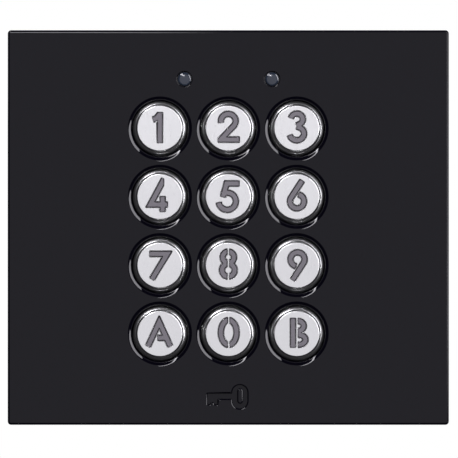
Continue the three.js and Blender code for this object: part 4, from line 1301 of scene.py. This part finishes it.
class READER_OT_components(ReaderOperator, bpy.types.Operator):
    """Makes the chip, relay, sounder, capacitor, terminal block and the two switches"""

    bl_idname = "reader.components"
    bl_label = "Components"

    def build(self, sizes):
        self.chip()
        self.relay()
        self.sounder()
        self.capacitor()
        self.terminals()
        for node in ("tamper_switch", "reset_switch"):
            softened(node, node + "_body", "component_black", 0.22)
        self.stem("tamper_plunger", "tamper_pin", "tamper_stem", 1.5)
        self.stem("reset_button", "reset_pin", "reset_stem", 1.6)

    def chip(self):
        x, y = middle("controller_chip")
        half, low = 5.0, span("controller_chip").wall
        s = Shape()
        body = Span(x - half, x + half, y - half, y + half, 0, 0)
        top, bottom = s.sleeve([
            (inset(body, i, 0.3, 3), low + h)
            for i, h in ((0.25, 0), (0.1, 0.08), (0, 0.6), (0.02, 0.66), (0.12, 1.25))
        ])
        dot, deep = s.sleeve([
            (circle(r, x - 3.6, y + 3.6, 24), h) for r, h in ((0.55, low), (0.5, low + 0.12))
        ])
        s.flat(deep)
        s.flat(top, [dot])
        s.flat(bottom)
        piece("chip_body", s, ["component_black"], ["controller_chip"])
        mesh = lead_tree().mesh(
            "screw_zinc", pitch=1.05 * MM, shift=tuple(WALL_UP @ Vector((x, y, low + 1.24)) * MM)
        )
        settled("chip_legs", mesh, ["screw_zinc"], joined=1e-8)

    def relay(self):
        box = span("relay")
        low, high = box.wall, box.front
        s = Shape()
        top, bottom = s.sleeve([
            (inset(box, i, max(1.0 - i, 0.3), 5), h)
            for i, h in (
                (0.55, low), (0.25, low + 0.1), (0.08, low + 0.3), (0.05, low + 0.6), (0, high - 1.6),
                (0.25, high - 1.5), (0.25, high - 1.2), (0, high - 1.1), (0, high - 0.1), (0.1, high),
            )
        ])
        sunk = Span(box.left + 2, box.right - 2, box.bottom + 2, box.top - 2, 0, 0)
        groove, deep = s.sleeve([
            (inset(sunk, i, 0.6, 5), h)
            for i, h in ((0, low), (0.12, low + 0.12), (0.5, low + 0.12), (0.62, low))
        ])
        s.flat(deep)
        s.flat(top, [groove])
        s.flat(bottom)
        piece("relay_case", s, ["relay_blue"], ["relay"])

    def sounder(self):
        box = span("sounder")
        x, y = middle("sounder")
        low, high = box.wall, box.front
        s = Shape()
        s.turned(
            [(0, low + 1.5), (1.0, low + 1.5), (1.0, low + 0.25), (1.2, low + 0.05), (1.7, low + 0.05),
             (1.9, low + 0.25), (2.6, low + 0.25), (2.8, low), (5.9, low), (6.2, low + 0.12),
             (6.35, low + 0.4), (6.35, low + 5.6), (6.15, low + 5.75), (6.15, low + 6.1),
             (6.35, low + 6.25), (6.35, high - 0.1), (6.25, high), (0, high)], x, y, 64,
        )
        piece("sounder_case", s, ["component_black"], ["sounder"])

    def capacitor(self):
        box = span("filter_capacitor")
        x, y = middle("filter_capacitor")
        low, high = box.wall, box.front
        s = Shape()
        s.turned(
            [(0, low + 0.18), (0.3, low + 0.3), (1.6, low + 0.3), (1.8, low + 0.15), (2.9, low + 0.12, 1),
             (3.1, low, 1), (3.45, low), (3.8, low + 0.12), (3.97, low + 0.5), (3.97, high - 1.9),
             (3.7, high - 1.55), (3.7, high - 1.25), (3.97, high - 0.9), (3.97, high - 0.15),
             (3.8, high), (0, high)], x, y, 48,
        )
        for i, polygon in enumerate(s.faces):
            if all(math.hypot(s.points[p][0] - x, s.points[p][1] - y) < 3.05 for p in polygon):
                s.finishes[i] = 1 if s.points[polygon[0]][2] < low + 1 else 0
        piece("capacitor_can", s, ["component_black", "screw_zinc"], ["filter_capacitor"])

    def terminals(self):
        softened("terminal_block", "terminal_body", "terminal_green", 0.18)
        for i in range(1, 7):
            node = f"terminal_screw_{i}"
            box = span(node)
            x, y = middle(node)
            low, radius = box.wall, (box.top - box.bottom) / 2
            s = Shape()
            s.turned(
                [(radius - 0.22, low), (radius, low + 0.22), (radius, box.front - 0.3),
                 (radius - 0.3, box.front), (0, box.front)], x, y, 48,
            )
            rim = list(range(48))
            width, reach = 0.35, radius - 0.4
            slot = rounded(x - reach, x + reach, y - width, y + width, 0.05, 2)
            slot_top, slot_floor = s.sleeve([(slot, low), (slot, low + 0.7)])
            s.flat(slot_floor)
            s.flat(rim, [slot_top])
            piece(f"clamp_screw_{i}", s, ["screw_zinc"], [node])

    def stem(self, node, name, body, rod):
        box = span(node)
        x, y = middle(node)
        head = (box.right - box.left) / 2
        low, high = box.wall, box.front
        s = Shape()
        s.turned(
            [(0, low), (rod - 0.7, low), (rod - 0.3, low + 0.12), (rod - 0.08, low + 0.35),
             (rod, low + 0.6), (rod, high - 1.0), (head - 0.1, high - 1.0), (head, high - 0.9),
             (head, high - 0.1), (head - 0.1, high), (0, high)], x, y, 40,
        )
        piece(name, s, ["stem_white"], [node], body)


def band(outside, corner, width, low, high, bead):
    """A closed ring that follows a rectangle, with its edges rounded."""
    s = Shape()
    profile = []
    for i in range(5):
        a = math.radians(90 * i / 4)
        profile.append((bead * (1 - math.sin(a)), low + bead * (1 - math.cos(a))))
    outer = [*profile, *[(across, low + high - h) for across, h in reversed(profile)]]
    inner = [(width - across, h) for across, h in reversed(outer)]
    rings = [s.ring(inset(outside, i, max(corner - i, 0.3), 8), h) for i, h in [*outer, *inner]]
    s.walls([*rings, rings[0]])
    return s


class READER_OT_seals(ReaderOperator, bpy.types.Operator):
    """Makes the seal inside the cover and the foam seal to the wall"""

    bl_idname = "reader.seals"
    bl_label = "Seals"

    def build(self, sizes):
        for node, name, look, corner, width, bead in (
            ("cover_seal", "cover_gasket", "silicone_grey", 1.0, 1.6, 0.35),
            ("wall_seal", "wall_foam", "seal_foam", 2.0, 2.0, 0.45),
        ):
            box = span(node)
            piece(name, band(box, corner, width, box.wall, box.front, bead), [look], [node])


WINDOW = Span(-34.0, 34.0, 10.0, 36.0, 0, 0)  # the opening for cables, in housing and bracket
POST = 3.1  # radius of the housing's screw columns
HEAD_BORE, SHANK_BORE = 3.1, 1.8  # radii of the stepped holes for the cover and lock screws


class READER_OT_housing(ReaderOperator, bpy.types.Operator):
    """Makes the rear housing, with its rim, its back wall with openings and its screw columns"""

    bl_idname = "reader.housing"
    bl_label = "Rear housing"

    def build(self, sizes):
        box = HOUSING
        back, inside, rim = 2.0, 4.2, 12.7
        s = Shape()
        start = s.ring(inset(box, 2.4, 2.0), back)
        end = s.ring(inset(box, 2.4, 1.0), inside)
        around = [
            s.ring(inset(box, across, turn), height)
            for across, turn, height in (
                (2.4, 2.0, box.wall + 0.15), (2.25, 1.8, box.wall), (0.35, 1.0, box.wall),
                (0.1, 1.15, box.wall + 0.12), (0.0, 1.2, box.wall + 0.35), (0.0, 1.2, rim - 0.25),
                (0.06, 1.2, rim - 0.08), (0.25, 1.1, rim), (1.3, 0.5, rim),
                (1.3, 0.5, box.front - 0.3), (1.5, 0.4, box.front), (2.7, 0.4, box.front),
                (2.9, 0.4, box.front - 0.3), (2.9, 0.4, rim - 0.4), (2.4, 1.0, rim - 0.8),
            )
        ]
        s.walls([start, *around, end])
        hook_top = BRACKET.top - 2.0 + 0.1
        openings = [rounded(*WINDOW[:4], 3.0, 8)]
        for x in HOOK_PLACES:
            openings.append(rounded(x - 4.3, x + 4.3, hook_top - 4.4, hook_top, 0.4, 4))
        openings.append(rounded(-9.3, 9.3, BRACKET.bottom - 0.3, BRACKET.bottom + 1.8, 0.4, 4))
        holes, easing = [], 0.25
        for outline in openings:
            holes.append(s.sleeve([
                (grown(outline, easing), back), (grown(outline, 0.07), back + 0.08),
                (outline, back + easing), (outline, inside - easing),
                (grown(outline, 0.07), inside - 0.08), (grown(outline, easing), inside),
            ]))
        top = span("cover_seal").front
        for name in CORNERS:
            x, y = middle("cover_screw_" + name)
            holes.append(s.sleeve([
                (circle(r, x, y, 40), h)
                for r, h in (
                    (HEAD_BORE + 0.2, back), (HEAD_BORE, back + 0.2), (HEAD_BORE, back + 1.9),
                    (SHANK_BORE, back + 1.9), (SHANK_BORE, top - 0.3), (SHANK_BORE + 0.2, top),
                    (POST - 0.3, top), (POST, top - 0.3), (POST, inside + 0.1), (POST + 0.1, inside),
                )
            ]))
        s.flat(start, [hole[0] for hole in holes])
        s.flat(end, [hole[1] for hole in holes])
        mesh = plan_mesh("housing_work", s)
        self.lock_hole(mesh)

    def lock_hole(self, mesh):
        """Cuts the stepped hole for the lock screw in the bottom wall."""
        box = span("lock_screw")
        x = (box.left + box.right) / 2
        height = (box.wall + box.front) / 2
        cutter = Shape()
        low, seat, high = HOUSING.bottom - 2, HOUSING.bottom + 1.7, HOUSING.bottom + 6
        cutter.turned(
            [(0, low), (HEAD_BORE, low), (HEAD_BORE, seat), (SHANK_BORE, seat), (SHANK_BORE, high),
             (0, high)], x, -height, 40,
        )
        tool_mesh = bpy.data.meshes.new("lock_cut")
        tool_mesh.from_pydata([Vector(p) * MM for p in cutter.points], [], cutter.faces)
        holders = []
        for work_mesh in (mesh, tool_mesh):
            work = bmesh.new()
            work.from_mesh(work_mesh)
            bmesh.ops.remove_doubles(work, verts=work.verts, dist=1e-6)
            bmesh.ops.recalc_face_normals(work, faces=work.faces)
            work.to_mesh(work_mesh)
            work.free()
            holder = bpy.data.objects.new("housing_work", work_mesh)
            bpy.context.scene.collection.objects.link(holder)
            holders.append(holder)
        cut = holders[0].modifiers.new("Lock hole", "BOOLEAN")
        cut.operation, cut.object, cut.solver = "DIFFERENCE", holders[1], "EXACT"
        result = baked(holders[0])
        bpy.data.objects.remove(holders[1])
        settled("housing_shell", result, ["housing_black"], ["rear_housing"], joined=1e-7)


def strip(path, thick, left, right, easing=0.15):
    """A strip of sheet bent along a line of (y, height) points, from left to right."""
    points = [Vector(p) for p in path]
    moves = []
    for i, here in enumerate(points):
        first = (here - points[i - 1]).normalized() if i else (points[1] - here).normalized()
        last = (points[i + 1] - here).normalized() if i < len(points) - 1 else first
        one, two = Vector((-first.y, first.x)), Vector((-last.y, last.x))
        mitre = (one + two).normalized()
        moves.append(mitre * thick / 2 / mitre.dot(one))
    outline = [*(p + m for p, m in zip(points, moves)), *reversed([p - m for p, m in zip(points, moves)])]
    flat = [tuple(p) for p in outline]
    if area(flat) < 0:
        flat.reverse()
    s = Shape()
    rings = []
    for x, shrink in ((left, easing), (left + easing, 0), (right - easing, 0), (right, easing)):
        first = len(s.points)
        s.points += [(x, y, h) for y, h in (grown(flat, -shrink) if shrink else flat)]
        rings.append(list(range(first, len(s.points))))
    s.walls(rings)
    for ring in (rings[0], rings[-1]):
        local = [Vector((s.points[i][1], s.points[i][2], 0)) for i in ring]
        for corners in tessellate_polygon([local]):
            s.face([ring[i] for i in corners])
    return s


def bend(y, height, radius, start, end, steps=6):
    """Points of a bend in the (y, height) plane."""
    angles = (math.radians(start + (end - start) * i / steps) for i in range(steps + 1))
    return [(y + radius * math.cos(a), height + radius * math.sin(a)) for a in angles]


class READER_OT_bracket(ReaderOperator, bpy.types.Operator):
    """Makes the folded steel bracket that holds the reader on the wall"""

    bl_idname = "reader.bracket"
    bl_label = "Wall bracket"

    def build(self, sizes):
        box, steel = BRACKET, 1.5
        top = box.top - 2.2
        radius = sizes.bracket_bend / MM
        sheet_box = Span(box.left, box.right, box.bottom, top, 0, 0)
        half = steel / 2
        hook_root, flange_root = top - half - radius, box.bottom + half + radius
        slots = [
            rounded(x - w / 2, x + w / 2, y - h / 2, y + h / 2, min(w, h) / 2 - 0.01, 8)
            for x, y, w, h in (
                (-30, 0, 9, 4.6), (30, 0, 9, 4.6), (0, -30, 4.6, 9), (0, (36 + top) / 2, 9, 4.6),
            )
        ]
        notches = [
            rounded(x - 4.9, x + 4.9, hook_root, top + 3, 0.4, 3) for x in HOOK_PLACES
        ] + [rounded(-9.9, 9.9, box.bottom - 3, flange_root, 0.4, 3)]
        outlines = merged(
            [inset(sheet_box, 0, 4.0, 8)], [rounded(*WINDOW[:4], 3.0, 8), *slots, *notches]
        )
        s = Shape()
        edges = []
        for outline in outlines:
            line = eased(outline, 0.5)
            edges.append(s.sleeve([
                (grown(line, -0.15), 0.0), (grown(line, -0.04), 0.04), (line, 0.15),
                (line, steel - 0.15), (grown(line, -0.04), steel - 0.04), (grown(line, -0.15), steel),
            ]))
        for rims in zip(*edges):  # the rims at the back, then those at the front
            s.flat(rims[0], rims[1:])
        thin = steel - 0.06  # a hair under the sheet, so that the faces don't lie on each other
        hook_top = span("wall_bracket").front
        hook = 6.2
        for x in HOOK_PLACES:
            path = [(hook_root - 0.6, half)]
            path += bend(hook_root, half + radius, radius, -90, 0)
            path += bend(top - half + 1.0, hook - half - 1.0, 1.0, 180, 90, 5)
            path += [(box.top, hook - half)]
            s.add(strip(path, thin, x - 4, x + 4))
        path = [(flange_root + 0.6, half)]
        path += bend(flange_root, half + radius, radius, 270, 180)
        path += [(box.bottom + half, 4.2)]
        s.add(strip(path, thin, -9, 9))
        tab = Shape()
        lock = span("lock_screw")
        height = (lock.wall + lock.front) / 2
        outer = rounded(-9, 9, 4.1, hook_top, 2.0, 6)
        hole = circle(SHANK_BORE, 0, height, 32)[::-1]
        edges = [
            tab.sleeve([
                (grown(outline, -0.12), 0), (outline, 0.12), (outline, thin - 0.12),
                (grown(outline, -0.12), thin),
            ])
            for outline in (outer, hole)
        ]
        for rims in zip(*edges):
            tab.flat(rims[0], rims[1:])
        # The tab's outline is (x, height); its thickness runs along y.
        stand = Matrix(((1, 0, 0, 0), (0, 0, 1, box.bottom + 0.03), (0, 1, 0, 0), (0, 0, 0, 1)))
        s.add(tab, stand)
        piece("bracket_steel", s, ["bracket_zinc"], ["wall_bracket"], crease=40.0)


class READER_OT_screws(ReaderOperator, bpy.types.Operator):
    """Makes the cover screws, the board screws and the lock screw"""

    bl_idname = "reader.screws"
    bl_label = "Screws"

    def build(self, sizes):
        tree = screw_tree()
        into_wall = (-math.pi / 2, 0.0, 0.0)
        sets = (
            ("cover_screws", ["cover_screw_" + c for c in CORNERS], "screw_black",
             {"head": 2.8, "rise": 1.8, "shank": 1.5, "driver": 1.45, "recess": 1.1, "pitch": 1.0}),
            ("board_screws", ["board_screw_" + c for c in CORNERS], "screw_zinc",
             {"head": 2.3, "rise": 1.5, "shank": 1.25, "driver": 1.2, "recess": 0.95, "pitch": 0.8}),
        )
        for name, nodes, look, spec in sets:
            box = span(nodes[0])
            places = [(*middle(node), box.wall) for node in nodes]
            values = {key: value * MM for key, value in spec.items()}
            mesh = tree.mesh(
                look, places, turn=into_wall, length=(box.front - box.wall) * MM,
                rings=int((box.front - box.wall) * 8), **values,
            )
            settled(name, mesh, [look], nodes, joined=1e-7)
        box = span("lock_screw")
        place = ((box.left + box.right) / 2, box.bottom, (box.wall + box.front) / 2)
        spec = {"head": 2.8, "rise": 1.7, "shank": 1.5, "driver": 1.45, "recess": 1.05, "pitch": 0.7}
        mesh = tree.mesh(
            "screw_black", [place], turn=(math.pi, 0.0, 0.0),
            length=(box.top - box.bottom) * MM, rings=80,
            **{key: value * MM for key, value in spec.items()},
        )
        settled("lock_bolt", mesh, ["screw_black"], ["lock_screw"], joined=1e-7)


# ---- stage ------------------------------------------------------------------------------------------


def panel(name, place, aim, width, height, brightness, roll=0.0, shape="RECTANGLE"):
    """A soft panel light, a rectangle or an ellipse, with the given brightness at its surface."""
    light = bpy.data.lights.new(name, "AREA")
    light.shape, light.size, light.size_y = shape, width, height
    light.color = (1.0, 0.985, 1.045)
    light.energy = brightness * math.pi * width * height * (math.pi / 4 if shape == "ELLIPSE" else 1)
    holder = bpy.data.objects.new(name, light)
    holder.location = place
    holder.rotation_mode = "QUATERNION"
    facing = (Vector(aim) - Vector(place)).to_track_quat("-Z", "Y")
    holder.rotation_quaternion = facing @ Quaternion((0, 0, 1), math.radians(roll))
    holder.visible_camera = False
    bpy.context.scene.collection.objects.link(holder)
    return holder


class READER_OT_stage(bpy.types.Operator):
    """Makes the camera, the floor, the lights and the surroundings"""

    bl_idname = "reader.stage"
    bl_label = "Stage"

    def execute(self, context):
        studio, scene = context.scene.reader_studio, context.scene
        scene.view_settings.view_transform = "Standard"
        scene.view_settings.look = "None"
        camera = bpy.data.cameras.new("camera")
        camera.sensor_width = 36.0
        camera.lens = 36.0 * studio.distance / studio.field
        camera.clip_start, camera.clip_end = 0.01, 20.0
        holder = bpy.data.objects.new("camera", camera)
        holder.location = (studio.aim_x, -FACE * MM - studio.distance, studio.aim_z)
        holder.rotation_euler = (math.pi / 2, 0, 0)
        scene.collection.objects.link(holder)
        scene.camera = holder
        self.floor(studio)
        self.lights(studio)
        self.surroundings(scene, studio)
        return {"FINISHED"}

    def floor(self, studio):
        mesh = bpy.data.meshes.new("floor")
        work = bmesh.new()
        bmesh.ops.create_grid(work, x_segments=8, y_segments=8, size=1.0)
        bmesh.ops.scale(work, verts=work.verts, vec=(1.3, 0.87, 1.0))
        bmesh.ops.translate(work, verts=work.verts, vec=(0, 0.52, -studio.floor_drop))
        work.to_mesh(mesh)
        work.free()
        mesh.materials.append(
            grained("floor_pale", (0.78, 0.78, 0.77), 0.02, 900.0, (0.6, 0.75), 1e-5, (1, 1, 1), 4.0)
        )
        floor = bpy.data.objects.new("floor", mesh)
        floor.visible_glossy = False
        bpy.context.scene.collection.objects.link(floor)

    def lights(self, studio):
        face = Vector((0, -FACE * MM, 0))

        def towards(off_axis, clock, distance):
            """A point seen from the cover's face, off its axis and at an hour of the clock."""
            a, b = math.radians(off_axis), math.radians(90 - clock * 30)
            way = Vector((math.sin(a) * math.cos(b), -math.cos(a), math.sin(a) * math.sin(b)))
            return face + way * distance

        panel("front_panel", face + Vector((0, -1.5, 0)), face, 1.85, 1.85, studio.front, 0, "ELLIPSE")
        panel("side_panel", towards(47, 2.3, 1.2), face, 0.32, 1.05, studio.side, 21)
        panel("upper_panel", towards(37.5, 11.0, 1.2), face, 0.92, 0.08, studio.spot, -30)
        panel("spot_panel", towards(55, 11.0, 1.2), face, 0.13, 0.42, studio.spot * 0.8, -30)
        panel("back_left", (-0.9, 0.9, 0.5), (0, 0, 0), 0.8, 0.8, studio.back)
        panel("back_right", (0.9, 1.0, 0.35), (0, 0, 0), 0.7, 1.0, studio.back)
        panel("top_back", (0.0, 0.45, 1.1), (0, 0, 0), 0.9, 0.5, studio.back)
        panel("straight_back", (0.0, 1.5, 0.1), (0, 0, 0), 2.0, 1.6, studio.back * 0.7)

    def surroundings(self, scene, studio):
        """A plain white backdrop that lights the reader only a little."""
        world = bpy.data.worlds.new("surroundings")
        world.use_nodes = True
        nodes, links = world.node_tree.nodes, world.node_tree.links
        nodes.clear()
        seen, lit = nodes.new("ShaderNodeBackground"), nodes.new("ShaderNodeBackground")
        seen.inputs["Color"].default_value = (1, 1, 1, 1)
        lit.inputs["Color"].default_value = (1.0, 1.0, 1.02, 1)
        lit.inputs["Strength"].default_value = studio.fill
        path, mix = nodes.new("ShaderNodeLightPath"), nodes.new("ShaderNodeMixShader")
        end = nodes.new("ShaderNodeOutputWorld")
        links.new(path.outputs["Is Camera Ray"], mix.inputs[0])
        links.new(lit.outputs[0], mix.inputs[1])
        links.new(seen.outputs[0], mix.inputs[2])
        links.new(mix.outputs[0], end.inputs["Surface"])
        scene.world = world


# ---- registration -------------------------------------------------------------------------------------

BUILDERS = (
    READER_OT_stage, READER_OT_finishes, READER_OT_cover, READER_OT_keys, READER_OT_guides,
    READER_OT_mat, READER_OT_lenses, READER_OT_board, READER_OT_components, READER_OT_seals,
    READER_OT_housing, READER_OT_bracket, READER_OT_screws,
)
GROUPS = {
    "reader_sizes": ReaderSizes, "reader_colours": ReaderColours, "reader_studio": ReaderStudio,
}


class READER_PT_panel(bpy.types.Panel):
    """Lists the sizes, colours and builders in the sidebar"""

    bl_idname = "READER_PT_panel"
    bl_label = "Keypad access reader"
    bl_space_type = "VIEW_3D"
    bl_region_type = "UI"
    bl_category = "Reader"

    def draw(self, context):
        for builder in BUILDERS:
            self.layout.operator(builder.bl_idname)
        for key, group in GROUPS.items():
            box = self.layout.box()
            for name in group.__annotations__:
                box.prop(getattr(context.scene, key), name)


def register():
    for kind in (*GROUPS.values(), *BUILDERS, READER_PT_panel):
        bpy.utils.register_class(kind)
    for key, group in GROUPS.items():
        setattr(bpy.types.Scene, key, PointerProperty(type=group))


def unregister():
    for key in GROUPS:
        delattr(bpy.types.Scene, key)
    for kind in reversed((*GROUPS.values(), *BUILDERS, READER_PT_panel)):
        bpy.utils.unregister_class(kind)


def main():
    register()
    for builder in BUILDERS:
        group, action = builder.bl_idname.split(".")
        getattr(getattr(bpy.ops, group), action)()


if __name__ == "__main__":
    main()
